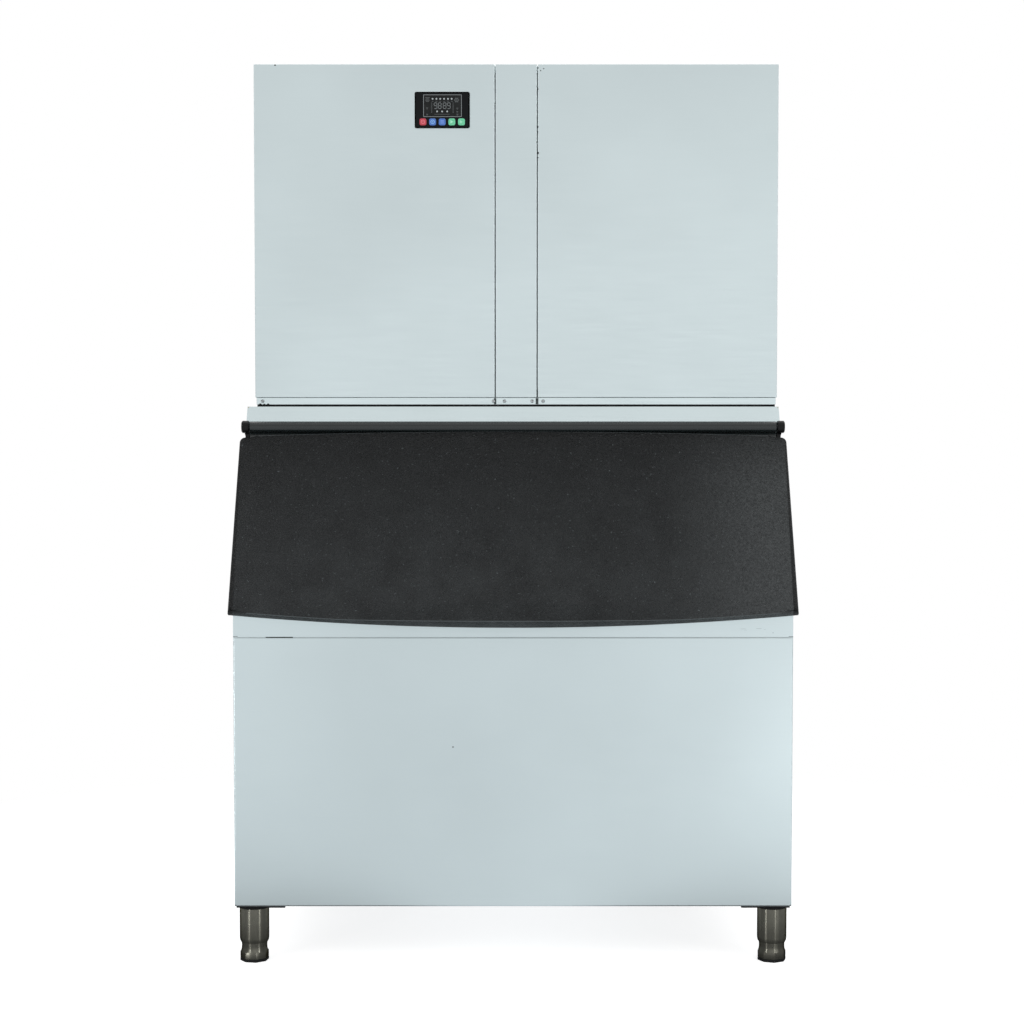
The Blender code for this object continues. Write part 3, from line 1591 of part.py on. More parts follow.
def build_pump():
    """Circulating pump: its plate lies on the trough's rim and its intake dips in."""
    floor = trough_rim + clearance
    y = (trough_front + trough_back) / 2
    top = floor + pump_plate_thickness + pump_height
    body_low = floor + pump_plate_thickness / 2
    intake_low = tray_sheet + clearance + trough_wall + pump_intake_gap
    profile = [
        (0.0, top),
        (pump_radius - pump_shoulder, top),
        (pump_radius, top - pump_shoulder),
        (pump_radius, body_low),
        (pump_intake_radius, body_low),
        (pump_intake_radius, intake_low),
        (0.0, intake_low),
    ]
    pump = turned("water_pump", profile, hinge_plastic, head, (pump_x, y, 0.0))
    half = pump_plate_width / 2
    plate = box(
        "pump_plate", (pump_x - half, trough_front, floor),
        (pump_x + half, trough_back, floor + pump_plate_thickness), None, head)
    join(pump, plate)


def build_float():
    """Float on its arm, drooping at rest in the empty trough."""
    eye_back = trough_back - trough_wall - float_y_gap
    eye_y = eye_back - float_eye_depth / 2
    axis = carrier(
        "float_axis", (float_pivot_x, eye_y, float_pivot_z), head, (0.0, float_droop, 0.0))
    ring = [circle(float_eye_radius, 16), circle(float_pin_radius + running_gap, 16)]
    arm = outline_solid(
        "float_arm", ring, float_eye_depth, 'XZ', white_plastic, axis)
    bar = box(
        "float_bar", (float_eye_radius * 0.8, -float_arm_thickness / 2, -float_arm_thickness / 2),
        (float_arm_length, float_arm_thickness / 2, float_arm_thickness / 2), None, axis)
    bm = bmesh.new()
    bmesh.ops.create_uvsphere(bm, u_segments=16, v_segments=10, radius=float_radius)
    ball = add_piece(
        "float_ball", mesh_from("float_ball", bm), None, axis, (float_arm_length, 0.0, 0.0))
    join(arm, bar, ball)


def circle(radius, steps):
    return [
        (radius * math.cos(2 * math.pi * step / steps), radius * math.sin(2 * math.pi * step / steps))
        for step in range(steps)
    ]


build_trough()
build_evaporator_frame()
build_evaporator()
build_curtain()
build_spray_tube()
build_pump()
build_float()


# Fittings on the back of the head
def build_fitting(name, x, z, radius, bore, nut_radius, nut_length, length, finish):
    """Bored fitting through the back panel, with its nut outside."""
    outside = head_depth + clearance
    inside = head_depth - sheet - fitting_reach
    profile = [
        (bore, outside + length),
        (radius, outside + length),
        (radius, inside),
        (bore, inside),
        (bore, outside + length),
    ]
    fitting = turned(name, profile, finish, head, (x, 0.0, z), 'Y', small_steps)
    nut = cylinder(
        name + "_nut", nut_radius, nut_length, (x, outside + nut_length / 2, z), 'Y', None,
        head, hole_steps)
    hole = cylinder(
        name + "_nut_bore", (radius + bore) / 2, nut_length + 2 * through,
        (x, outside + nut_length / 2, z),
        'Y', None, head, small_steps)
    cut(nut, hole)
    join(fitting, nut)


build_fitting(
    "power_gland", gland_x, gland_z, gland_radius, gland_bore, gland_nut_radius,
    gland_nut_length, gland_nut_length + gland_lip, hinge_plastic)
build_fitting(
    "water_inlet", inlet_x, inlet_z, inlet_radius, inlet_bore, inlet_radius + inlet_nut_rim,
    inlet_length / 3, inlet_length, steel)
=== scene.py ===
"""Looks of the cube ice machine: finishes, lid, hinge, legs, control plate, front and screws."""
import json
import math

import bmesh
import bpy
from bpy.props import (
    FloatProperty, FloatVectorProperty, IntProperty, PointerProperty, StringProperty)
from mathutils import Matrix, Vector


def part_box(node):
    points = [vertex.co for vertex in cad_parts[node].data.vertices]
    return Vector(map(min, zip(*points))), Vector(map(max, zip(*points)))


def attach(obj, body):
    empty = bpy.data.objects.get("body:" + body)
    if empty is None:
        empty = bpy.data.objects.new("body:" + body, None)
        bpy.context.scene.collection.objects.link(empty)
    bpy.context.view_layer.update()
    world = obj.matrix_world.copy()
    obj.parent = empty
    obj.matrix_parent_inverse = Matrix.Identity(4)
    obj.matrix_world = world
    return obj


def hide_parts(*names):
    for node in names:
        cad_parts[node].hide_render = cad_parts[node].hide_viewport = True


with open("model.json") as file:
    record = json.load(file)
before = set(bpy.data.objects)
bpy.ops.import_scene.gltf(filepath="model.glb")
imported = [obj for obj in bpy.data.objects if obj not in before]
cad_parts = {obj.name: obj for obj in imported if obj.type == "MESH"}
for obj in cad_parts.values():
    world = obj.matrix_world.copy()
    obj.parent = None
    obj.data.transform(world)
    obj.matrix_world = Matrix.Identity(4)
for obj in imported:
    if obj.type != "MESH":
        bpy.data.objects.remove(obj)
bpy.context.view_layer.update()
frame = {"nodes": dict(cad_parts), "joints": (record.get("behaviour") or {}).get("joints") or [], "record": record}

bl_info = {
    "name": "Cube ice machine",
    "version": (1, 0, 0),
    "blender": (4, 5, 0),
    "location": "View3D > Sidebar > Ice machine",
    "description": "Builds the looks of a cube ice machine round its solids",
    "category": "Object",
}

# Places taken from the frame
CABINET = "cabinet"
LEFT_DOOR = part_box("door_left")
RIGHT_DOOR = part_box("door_right")
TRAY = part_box("head_base_tray")
BIN_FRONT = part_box("bin_front_panel")
HEAD_X = (LEFT_DOOR[0].x + RIGHT_DOOR[1].x) / 2
HEAD_WIDTH = RIGHT_DOOR[1].x - LEFT_DOOR[0].x
HEAD_FRONT = LEFT_DOOR[0].y
HEAD_BASE = TRAY[0].z
CORNERS = ("front_left", "front_right", "rear_left", "rear_right")
LEG_MIDDLE = (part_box("leg_tube_rear_right")[0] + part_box("leg_tube_rear_right")[1]) / 2
SLOPE = math.radians(30)
HINGE = Vector(next(j["pos_m"] for j in frame["joints"] if j["name"] == "lid_hinge"))
SLOPE_FRAME = Matrix.Translation(HINGE) @ Matrix.Rotation(math.pi / 2 - SLOPE, 4, 'X')
FRONT_FRAME = Matrix.Rotation(math.pi / 2, 4, 'X')    # x right, y up, z towards the viewer
WHITE = (1.0, 1.0, 1.0, 1.0)


# Sizes and colours that a user may change
def colour_field(name, description, default):
    return FloatVectorProperty(
        name=name, description=description + ", sRGB", subtype='COLOR_GAMMA', size=3, min=0,
        max=1, default=default)


def length_field(name, description, default):
    return FloatProperty(name=name, description=description, unit='LENGTH', default=default)


class SteelSettings(bpy.types.PropertyGroup):
    """Sheet metal of the casings."""
    colour: colour_field("Sheet colour", "Satin stainless sheet", (0.835, 0.883, 0.891))
    roughness: FloatProperty(
        name="Roughness", description="Softness of the sheet's reflections", subtype='FACTOR',
        min=0, max=1, default=0.36)
    grain: length_field("Grain", "Distance between the drawn lines of the satin grain", 0.0022)


class LidSettings(bpy.types.PropertyGroup):
    """Moulded lid."""
    colour: colour_field("Plastic colour", "Black moulded plastic", (0.086, 0.093, 0.096))
    grain: length_field("Pebble grain", "Size of a pebble of the moulded grain", 0.0034)
    edge_radius: length_field("Edge radius", "Rounding of the lid's side edges", 0.009)
    # The crest's paler plastic is a painted highlight along the rim and the lower edge.
    crest: length_field("Crest", "Width of the worn line along the rim and the lower edge", 0.0012)
    wall: length_field("Wall", "Thickness of the moulding", 0.004)


class LegSettings(bpy.types.PropertyGroup):
    """Levelling legs."""
    # The plating colour is set darker than bright nickel: painted shade for the dark surroundings the legs
    # reflect.
    colour: colour_field("Plating colour", "Bright nickel plating", (0.455, 0.451, 0.416))
    steps: IntProperty(name="Turning steps", description="Flat steps round a leg", default=64)


class ControlSettings(bpy.types.PropertyGroup):
    """Control plate."""
    digit_height: length_field("Digit height", "Height of the display's digits", 0.0141)
    digits: StringProperty(
        name="Digits", description="Digits that the display shows", default="9889")
    icon_colour: colour_field(
        "Icon colour", "Printed icons and display segments", (0.760, 0.790, 0.800))


class ScrewSettings(bpy.types.PropertyGroup):
    """Screws of the casing."""
    head_radius: length_field("Head radius", "Radius of a pan head", 0.0042)
    head_height: length_field("Head height", "Height of a pan head", 0.0022)


def settings():
    return bpy.context.scene.ice_machine


# Helpers for colours and nodes
def linear(colour):
    """Linear RGBA of an sRGB colour, as a hex text or three numbers from 0 to 1."""
    if isinstance(colour, str):
        colour = [int(colour[place:place + 2], 16) / 255 for place in (1, 3, 5)]
    channels = [c / 12.92 if c <= 0.04045 else ((c + 0.055) / 1.055) ** 2.4 for c in colour]
    return (*channels, 1.0)


def shaded(colour, share):
    """Linear colour made darker or paler, never above white."""
    return (*(min(1.0, c * share) for c in colour[:3]), 1.0)


def add_node(tree, kind, inputs=(), output=0, **options):
    """Adds a node with its settings and links, and returns the named output if it has any.

    Each input is a value or the socket that feeds it.
    """
    made = tree.nodes.new("ShaderNode" + kind)
    for name, value in options.items():
        setattr(made, name, value)
    for socket, value in dict(inputs).items():
        if isinstance(value, bpy.types.NodeSocket):
            tree.links.new(value, made.inputs[socket])
        else:
            made.inputs[socket].default_value = value
    return made.outputs[output] if len(made.outputs) else None


class Nodes:
    """Node tree of a material or of the world, with the kinds of node that several share."""

    def __init__(self, owner, coordinates="Object", cleared=False):
        owner.use_nodes = True
        self.tree = owner.node_tree
        if cleared:
            self.tree.nodes.clear()
        self.place = self.add("TexCoord", output=coordinates)

    def add(self, kind, inputs=(), output=0, **options):
        return add_node(self.tree, kind, inputs, output, **options)

    def axis(self, letter):
        return self.add("SeparateXYZ", {"Vector": self.place}, letter)

    def ray(self, kind):
        return self.add("LightPath", output="Is %s Ray" % kind)

    def maths(self, operation, first, second=0.0):
        return self.add("Math", {0: first, 1: second}, operation=operation)

    def seen(self):
        """1 where the camera looks, straight or through glass."""
        return self.maths('MAXIMUM', self.ray("Camera"), self.ray("Transmission"))

    def product(self, *values):
        """Product of two or more values."""
        result = values[0]
        for value in values[1:]:
            result = self.maths('MULTIPLY', result, value)
        return result

    def ranged(self, value, source, target=(0.0, 1.0), kind='LINEAR'):
        """Maps a value from one range to another and holds it there."""
        return self.add("MapRange", {
            "Value": value, "From Min": source[0], "From Max": source[1],
            "To Min": target[0], "To Max": target[1]}, interpolation_type=kind)

    def mixed(self, factor, first, second):
        """Colour between two, each a hex text, a linear colour or a socket."""
        first, second = (linear(c) if isinstance(c, str) else c for c in (first, second))
        return self.add("Mix", {0: factor, 6: first, 7: second}, 2, data_type='RGBA')

    def mixed_shader(self, factor, first, second):
        return self.add("MixShader", {0: factor, 1: first, 2: second})


class Surface(Nodes):
    """Material with its Principled shader set, and short ways to vary it."""

    def __init__(self, name, sockets):
        self.material = bpy.data.materials.new(name)
        super().__init__(self.material)
        self.shader = self.tree.nodes["Principled BSDF"]
        for socket, value in sockets.items():
            self.shader.inputs[socket].default_value = value

    def drive(self, socket, value):
        self.tree.links.new(value, self.shader.inputs[socket])

    def noise(self, scale, detail=2.0, stretch=None):
        """Noise of so many features a metre, drawn out along an axis by a small stretch."""
        place = self.place
        if stretch:
            place = self.add("Mapping", {"Vector": place, "Scale": stretch})
        return self.add("TexNoise", {"Vector": place, "Scale": scale, "Detail": detail})

    def spread(self, low, high, scale, detail=2.0, stretch=None):
        """Noise mapped to run from low to high."""
        return self.ranged(self.noise(scale, detail, stretch), (0.3, 0.7), (low, high))

    def colour(self, factor, first, second):
        self.drive("Base Color", self.mixed(factor, first, second))

    def rough(self, low, high, scale, detail=2.0, stretch=None):
        self.drive("Roughness", self.spread(low, high, scale, detail, stretch))

    def bump(self, height, depth, under=None):
        """Bump of a depth in metres, on top of another where one is given."""
        inputs = {"Height": height, "Distance": depth, "Strength": 1.0}
        if under:
            inputs["Normal"] = under
        normal = self.add("Bump", inputs)
        self.drive("Normal", normal)
        return normal


def plain_finish(name, sockets, tone=None, rough=None, grain=None):
    """Surface with a cloudy colour, a varied roughness and a fine bump, as far as given.

    tone is the noise's scale and detail and the two colours, rough what Surface.rough takes,
    and grain the noise's scale and detail and the depth.
    """
    surface = Surface(name, sockets)
    if tone:
        scale, detail, low, high = tone
        surface.colour(surface.spread(0.0, 1.0, scale, detail), low, high)
    if rough:
        surface.rough(*rough)
    if grain:
        scale, detail, depth = grain
        surface.bump(surface.noise(scale, detail), depth)
    return surface.material


# Finishes
def satin_stainless(name="satin_stainless_sheet", share=1.0):
    """Stainless steel sheet with a satin finish: even, pale, and softly cloudy across a panel."""
    look = settings().steel
    base = shaded(linear(look.colour), share)
    drawn = (0.02, 1.0, 1.0)
    swing = 0.05
    sheet = Surface(name, {"Metallic": 1.0, "Roughness": look.roughness})
    sheet.colour(sheet.spread(0.0, 1.0, 1.6, 3.0), shaded(base, 0.93), shaded(base, 1.03))
    sheet.rough(look.roughness - swing, look.roughness + swing, 1 / look.grain, 2.0, drawn)
    fine = sheet.bump(sheet.noise(1 / look.grain, 3.0, drawn), 0.00002)
    sheet.bump(sheet.noise(3.0, 1.0), 0.0015, fine)
    return sheet.material


def galvanised_sheet():
    """Zinc-coated steel sheet: grey, with the pale and dark patches of its spangle."""
    sheet = Surface("galvanised_sheet", {"Metallic": 1.0, "Roughness": 0.42})
    spangle = sheet.add("TexVoronoi", {"Vector": sheet.place, "Scale": 90.0}, "Color")
    sheet.colour(spangle, "#9ba1a4", "#c0c5c8")
    sheet.rough(0.34, 0.50, 60.0)
    return sheet.material


def pebble_plastic():
    """Black polyethylene moulded in a grained tool: dull pebbles with pale dust between them.

    It is paler low down in cloudy patches, with a painted sheen towards its right end.
    Its side walls carry painted shade: a dark band where they turn from the light.
    """
    look = settings().lid
    base = linear(look.colour)
    side = LID_BOX[1].x
    lid = Surface("black_pebble_grain_plastic", {"Roughness": 0.42, "Specular IOR Level": 0.26})
    across = lid.axis("X")
    height = lid.axis("Z")
    pebbles = lid.add("TexVoronoi", {"Vector": lid.place, "Scale": 1 / look.grain}, "Distance")
    drag = lid.noise(1 / (look.grain * 2.2), 4.0)
    grain = lid.bump(lid.maths('ADD', pebbles, drag), 0.0026)
    sag = lid.noise(9.0, 1.0, (0.25, 1.0, 1.0))
    lid.bump(sag, 0.0030, grain)
    # Cloudy patches, paler towards the lid's lower edge.
    paler_low_down = lid.ranged(height, (1.13, 0.84), (0.5, 1.9))
    patches = lid.product(lid.spread(0.6, 1.4, 14.0, 5.0), paler_low_down)
    colour = lid.mixed(lid.ranged(patches, (0.3, 2.4)), base, shaded(base, 2.8))
    # Painted sheen: the lid turns paler towards its right end and low down, where the right-hand lamp's light
    # falls.
    painted_right_sheen = lid.product(
        lid.ranged(across, (0.30, 0.59), kind='SMOOTHSTEP'),
        lid.ranged(height, (1.16, 1.05), (0.35, 1.0)), lid.spread(0.35, 1.15, 190.0, 3.0))
    colour = lid.mixed(painted_right_sheen, colour, "#434647")
    dust = lid.ranged(lid.noise(210.0), (0.66, 0.80))
    colour = lid.mixed(dust, colour, "#565c5e")
    # Painted shade: a dark band along each side of the lid, wider low down, where its drafted side faces turn from
    # the light.
    wall = lid.ranged(height, (1.16, 0.80), (0.006, 0.013))
    painted_side_shade_reach = lid.maths('ADD', lid.maths('ABSOLUTE', across), wall)
    lid.colour(lid.ranged(painted_side_shade_reach, (side, side + 0.002), (0.0, 0.8)), colour, "#0a0c0c")
    lid.rough(0.36, 0.50, 30.0)
    return lid.material


def smooth_black_plastic(name="smooth_black_plastic", colour="#0d0e0f", gloss=0.2, blur=0.3):
    """Black plastic from a polished tool: an even sheen with faint handling marks."""
    return plain_finish(
        name, {"Base Color": linear(colour), "Roughness": blur, "Specular IOR Level": gloss},
        rough=(blur - 0.07, blur + 0.07, 70.0, 4.0), grain=(900.0, 2.0, 0.00004))


def white_plastic():
    """White food-grade polyethylene: waxy, a little uneven, faintly see-through at its edges."""
    return plain_finish(
        "white_food_plastic",
        {"Roughness": 0.42, "Subsurface Weight": 0.06, "Subsurface Scale": 0.004},
        (5.0, 3.0, "#dfe2e1", "#eaecea"), (0.36, 0.50, 40.0), (220.0, 2.0, 0.00012))


def cast_foam():
    """Polyurethane foam: dull straw yellow with open pores on its cut faces."""
    foam = Surface("polyurethane_foam", {"Roughness": 0.95})
    pores = foam.add("TexVoronoi", {"Vector": foam.place, "Scale": 420.0}, "Distance")
    foam.colour(pores, "#b79a5e", "#e3cd94")
    foam.bump(pores, 0.0008)
    return foam.material


def sealing_rubber():
    """Black sponge rubber: dull, with a fine closed skin."""
    return plain_finish(
        "black_sponge_rubber",
        {"Base Color": linear("#18191a"), "Roughness": 0.8, "Specular IOR Level": 0.3},
        rough=(0.72, 0.88, 120.0), grain=(500.0, 4.0, 0.0003))


def bright_steel(name="zinc_plated_steel", low="#aeb2b4", high="#c6cacc", roughness=0.28):
    """Zinc-plated steel: bright, with faint cloudiness in the plating."""
    return plain_finish(
        name, {"Metallic": 1.0}, (120.0, 3.0, low, high),
        (roughness - 0.06, roughness + 0.08, 260.0))


def turned_nickel():
    """Turned steel with bright nickel plating: its fine turning lines draw highlights upright."""
    # Its colour is darker than bare nickel: painted shade for the dark surroundings the plating reflects.
    base = linear(settings().legs.colour)
    plating = Surface("bright_nickel_plating", {
        "Metallic": 1.0, "Roughness": 0.29, "Anisotropic": 0.92,
        "Specular Tint": (0.15, 0.15, 0.14, 1.0)})
    plating.drive("Tangent", plating.add("CombineXYZ", {"Z": 1.0}))
    plating.colour(plating.spread(0.0, 1.0, 30.0, 3.0), base, shaded(base, 1.2))
    plating.rough(0.27, 0.31, 90.0)
    plating.bump(plating.noise(900.0, 2.0, (0.05, 0.05, 1.0)), 0.00004)
    return plating.material


def black_paint(name="black_powder_coat", roughness=0.45):
    """Black powder coat on steel: the slight orange peel of the cured powder."""
    return plain_finish(
        name,
        {"Base Color": linear("#131415"), "Roughness": roughness, "Specular IOR Level": 0.2},
        rough=(roughness - 0.07, roughness + 0.07, 60.0), grain=(380.0, 2.0, 0.00015))


def gloss_panel():
    """Polycarbonate sheet printed black on its back: deep black under a clean gloss."""
    return plain_finish(
        "gloss_black_polycarbonate",
        {"Base Color": linear("#0b0e10"), "Roughness": 0.14, "Specular IOR Level": 0.14},
        rough=(0.10, 0.20, 90.0, 4.0))


def smoked_lens():
    """Smoked acrylic over the display: dark grey, clearer than the plate round it."""
    return plain_finish(
        "smoked_acrylic_lens", {"Roughness": 0.1, "Specular IOR Level": 0.12},
        (60.0, 2.0, "#1c1e1e", "#262828"), (0.07, 0.14, 120.0))


def key_plastic(name, low, high):
    """Silicone key with a satin lacquer: even colour, soft sheen."""
    return plain_finish(
        name, {"Roughness": 0.38}, (400.0, 2.0, low, high), grain=(1500.0, 2.0, 0.00003))


def printed_marks(name, share):
    """Screen print and lit segments: a share of the icon colour, faintly glowing."""
    base = shaded(linear(settings().control.icon_colour), share)
    return plain_finish(
        name,
        {"Roughness": 0.45, "Specular IOR Level": 0.2, "Emission Color": base,
         "Emission Strength": 0.12},
        (700.0, 2.0, shaded(base, 0.86), base))


def circuit_board():
    """Glass-epoxy board under green solder mask: glossy, with faint copper tracks."""
    board = Surface("green_solder_mask", {"Roughness": 0.3})
    board.drive("Base Color", board.add("TexBrick", {
        "Vector": board.place, "Scale": 160.0, "Color1": linear("#1d6b3d"),
        "Color2": linear("#1a6238"), "Mortar": linear("#2c8a55")}, "Color"))
    return board.material


def nickel_copper():
    """Copper plated with nickel and tin: soft bright metal with a warm cast."""
    return bright_steel("nickel_plated_copper", "#b3a898", "#cfc6ba", 0.32)


def rolled_aluminium():
    """Rolled aluminium foil and sheet: pale and lightly brushed."""
    foil = Surface("rolled_aluminium", {"Metallic": 1.0})
    foil.colour(foil.spread(0.0, 1.0, 700.0, 2.0, (1.0, 1.0, 0.04)), "#c3c6c8", "#dadddf")
    foil.rough(0.30, 0.46, 200.0)
    return foil.material


def clear_sheet():
    """Clear polycarbonate sheet with a faint blue cast and a little haze."""
    return plain_finish(
        "clear_polycarbonate",
        {"Base Color": linear("#dfe9ee"), "Transmission Weight": 0.85, "IOR": 1.58,
         "Roughness": 0.12},
        rough=(0.06, 0.18, 35.0))


def grime_and_shade_finish(name, low, high):
    """Dry grime, painted seam shade or a dull scratch: flat and rough, a little uneven."""
    return plain_finish(
        name, {"Roughness": 0.9, "Specular IOR Level": 0.15}, (900.0, 2.0, low, high))


# Finish of each material slot of the record
FINISHES = {
    "stainless_sheet": satin_stainless, "galvanised_sheet": galvanised_sheet,
    "black_grained_plastic": pebble_plastic, "black_moulded_plastic": smooth_black_plastic,
    "white_food_plastic": white_plastic, "insulating_foam": cast_foam,
    "black_rubber": sealing_rubber, "bright_steel": bright_steel,
    "nickel_plated_leg": turned_nickel, "black_painted_steel": black_paint,
    "gloss_black_panel": gloss_panel, "smoked_display": smoked_lens,
    "circuit_board": circuit_board,
    "red_key": lambda: key_plastic("red_key_lacquer", "#b83a48", "#c64656"),
    "blue_key": lambda: key_plastic("blue_key_lacquer", "#4470bd", "#507cca"),
    "green_key": lambda: key_plastic("green_key_lacquer", "#62c898", "#78d8ab"),
    "black_enamel": lambda: black_paint("black_stove_enamel", 0.28),
    "tinned_copper": nickel_copper, "aluminium_fins": rolled_aluminium,
    "clear_curtain_plastic": clear_sheet,
}


def finish_of(slot):
    """Material of a slot, made when it is first asked for."""
    key = "ice_machine_" + slot
    name = bpy.context.scene.get(key)
    if name is None:
        name = FINISHES[slot]().name
        bpy.context.scene[key] = name
    return bpy.data.materials[name]


# Modelling helpers
DOUBLED = 0.000005          # vertices closer than this are joined


def add_mesh(name, bm, body, slot=None, material=None, place=None, smooth=35.0, stands_for=()):
    """Turns a bmesh into a piece that lies in the row frame and rides on a body.

    Without a material it takes the finish of its slot.
    """
    if place:
        bmesh.ops.transform(bm, matrix=place, verts=bm.verts)
    mesh = bpy.data.meshes.new(name)
    bm.to_mesh(mesh)
    bm.free()
    mesh.materials.append(material or finish_of(slot))
    mesh.shade_smooth()
    mesh.set_sharp_from_angle(angle=math.radians(smooth))
    piece = bpy.data.objects.new(name, mesh)
    bpy.context.scene.collection.objects.link(piece)
    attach(piece, body)
    if stands_for:
        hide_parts(*stands_for)
    return piece


def thicken(piece, thickness):
    """Gives an open sheet its wall, inwards."""
    wall = piece.modifiers.new("wall", 'SOLIDIFY')
    wall.thickness = thickness
    wall.offset = -1.0


def face_outward(bm):
    bmesh.ops.recalc_face_normals(bm, faces=bm.faces)


def clean(bm):
    """Joins doubled vertices and turns the faces outward."""
    bmesh.ops.remove_doubles(bm, verts=bm.verts, dist=DOUBLED)
    face_outward(bm)


def edges_of(verts):
    return list({edge for vert in verts for edge in vert.link_edges})


def round_off(bm, edges, width, segments=2, material=-1):
    bmesh.ops.bevel(
        bm, geom=edges, offset=width, offset_type='OFFSET', segments=segments, profile=0.5,
        affect='EDGES', material=material)


def add_block(bm, low, high, rounding=0.0, segments=2):
    """Box between two corners with rounded edges; returns its vertices."""
    before = set(bm.verts)
    made = bmesh.ops.create_cube(bm, size=1.0)["verts"]
    bmesh.ops.scale(bm, verts=made, vec=Vector(high) - Vector(low))
    bmesh.ops.translate(bm, verts=made, vec=(Vector(high) + Vector(low)) / 2)
    if rounding:
        round_off(bm, edges_of(made), rounding, segments)
    return [vert for vert in bm.verts if vert not in before]


def turn_to(direction):
    """Rotation that takes Z to a direction."""
    return Vector((0.0, 0.0, 1.0)).rotation_difference(Vector(direction)).to_matrix().to_4x4()


def add_turned(bm, profile, steps, centre=(0.0, 0.0, 0.0), axis=(0.0, 0.0, 1.0)):
    """Spins a profile of (radius, height) points round an axis; returns its vertices."""
    before = set(bm.verts)
    points = [bm.verts.new((radius, 0.0, height)) for radius, height in profile]
    edges = [bm.edges.new(pair) for pair in zip(points, points[1:])]
    bmesh.ops.spin(
        bm, geom=points + edges, cent=(0.0, 0.0, 0.0), axis=(0.0, 0.0, 1.0),
        angle=2 * math.pi, steps=steps, use_merge=True)
    made = [vert for vert in bm.verts if vert not in before]
    bmesh.ops.remove_doubles(bm, verts=made, dist=DOUBLED)
    made = [vert for vert in bm.verts if vert not in before]
    bmesh.ops.transform(bm, matrix=Matrix.Translation(centre) @ turn_to(axis), verts=made)
    return made


def arc(centre, radius, steps):
    """Points of a quarter arc in a profile, from its top round to its side."""
    angles = [math.radians(90 - 90 * step / steps) for step in range(steps + 1)]
    return [
        (centre[0] + radius * math.cos(a), centre[1] + radius * math.sin(a)) for a in angles]


def add_rounded_plate(bm, width, height, corner, thickness, back):
    """Plate with rounded corners in the front frame, its back at a depth."""
    made = bmesh.ops.create_grid(bm, x_segments=1, y_segments=1, size=0.5)["verts"]
    bmesh.ops.scale(bm, verts=made, vec=(width, height, 1.0))
    bmesh.ops.bevel(
        bm, geom=made, offset=corner, offset_type='OFFSET', segments=6, profile=0.5,
        affect='VERTICES', material=-1)
    raised = bmesh.ops.extrude_face_region(bm, geom=list(bm.faces), use_keep_orig=True)
    top = [item for item in raised["geom"] if isinstance(item, bmesh.types.BMVert)]
    bmesh.ops.translate(bm, verts=top, vec=(0.0, 0.0, thickness))
    bmesh.ops.translate(bm, verts=bm.verts, vec=(0.0, 0.0, back))


# Lid, in the slope's frame: x across, y up the slope, z out of it
LID_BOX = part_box("lid_shell")
LID_WIDTH = LID_BOX[1].x - LID_BOX[0].x
LID_TOP = 0.0135            # top rim from the hinge axis, at the middle
LID_TOP_ARCH = 0.0125
LID_BOTTOM = 0.4925         # bottom edge from the hinge axis, at the middle
LID_BOTTOM_BOW = 0.0300
LID_FACE = 0.0030           # face outside the hinge axis
LID_RIM_BACK = -0.0155
LID_CORNER = 0.012
LID_FIRST = 0.016           # first rows and columns of the lid's grid, wider than its rounding
LID_GRIP_ROWS = 0.86        # share of the lid above its closely spaced rows
GRIP_FLARE = 0.015
GRIP_HALF_WIDTH = 0.360
GRIP_HEIGHT = 0.052
GRIP_HEIGHT_END = 0.018
BARREL_RADIUS = 0.0125
BARREL_HALF = 0.598
WEB_BACK = -0.0115          # thin web between the barrel and the lid's rim
WEB_THICKNESS = 0.005


def lid_top(x):
    """Distance of the lid's top rim from the hinge axis, down the slope."""
    return LID_TOP + LID_TOP_ARCH * (2 * x / LID_WIDTH) ** 2


def lid_bottom(x):
    """Distance of the lid's lower edge from the hinge axis, down the slope."""
    return LID_BOTTOM - LID_BOTTOM_BOW * (2 * x / LID_WIDTH) ** 2


def lid_point(across, down):
    """Point of the lid's face: across from -1 to 1, down from 0 at the rim to 1 at the edge."""
    x = across * LID_WIDTH / 2
    swell = max(0.0, 1.0 - (x / GRIP_HALF_WIDTH) ** 2)
    grip_height = GRIP_HEIGHT_END + (GRIP_HEIGHT - GRIP_HEIGHT_END) * swell
    s = lid_top(x) + (lid_bottom(x) - lid_top(x)) * down
    into_grip = max(0.0, 1.0 - (lid_bottom(x) - s) / grip_height)
    return Vector((x, -s, LID_FACE + GRIP_FLARE * swell * into_grip))


def lid_columns():
    """Grid lines across the lid, from -1 to 1: a wide one at each side, the rest even."""
    first = 1.0 - 2 * LID_FIRST / LID_WIDTH
    return [-1.0] + [first * (step / 45 - 1.0) for step in range(91)] + [1.0]


def lid_rows():
    """Grid lines down the lid, from 0 to 1: a wide one at the rim, close ones at the grip."""
    first = LID_FIRST / (LID_BOTTOM - LID_TOP)
    upper = [first + (LID_GRIP_ROWS - first) * step / 28 for step in range(29)]
    lower = [LID_GRIP_ROWS + (1.0 - LID_GRIP_ROWS) * step / 22 for step in range(1, 23)]
    return [0.0] + upper + lower


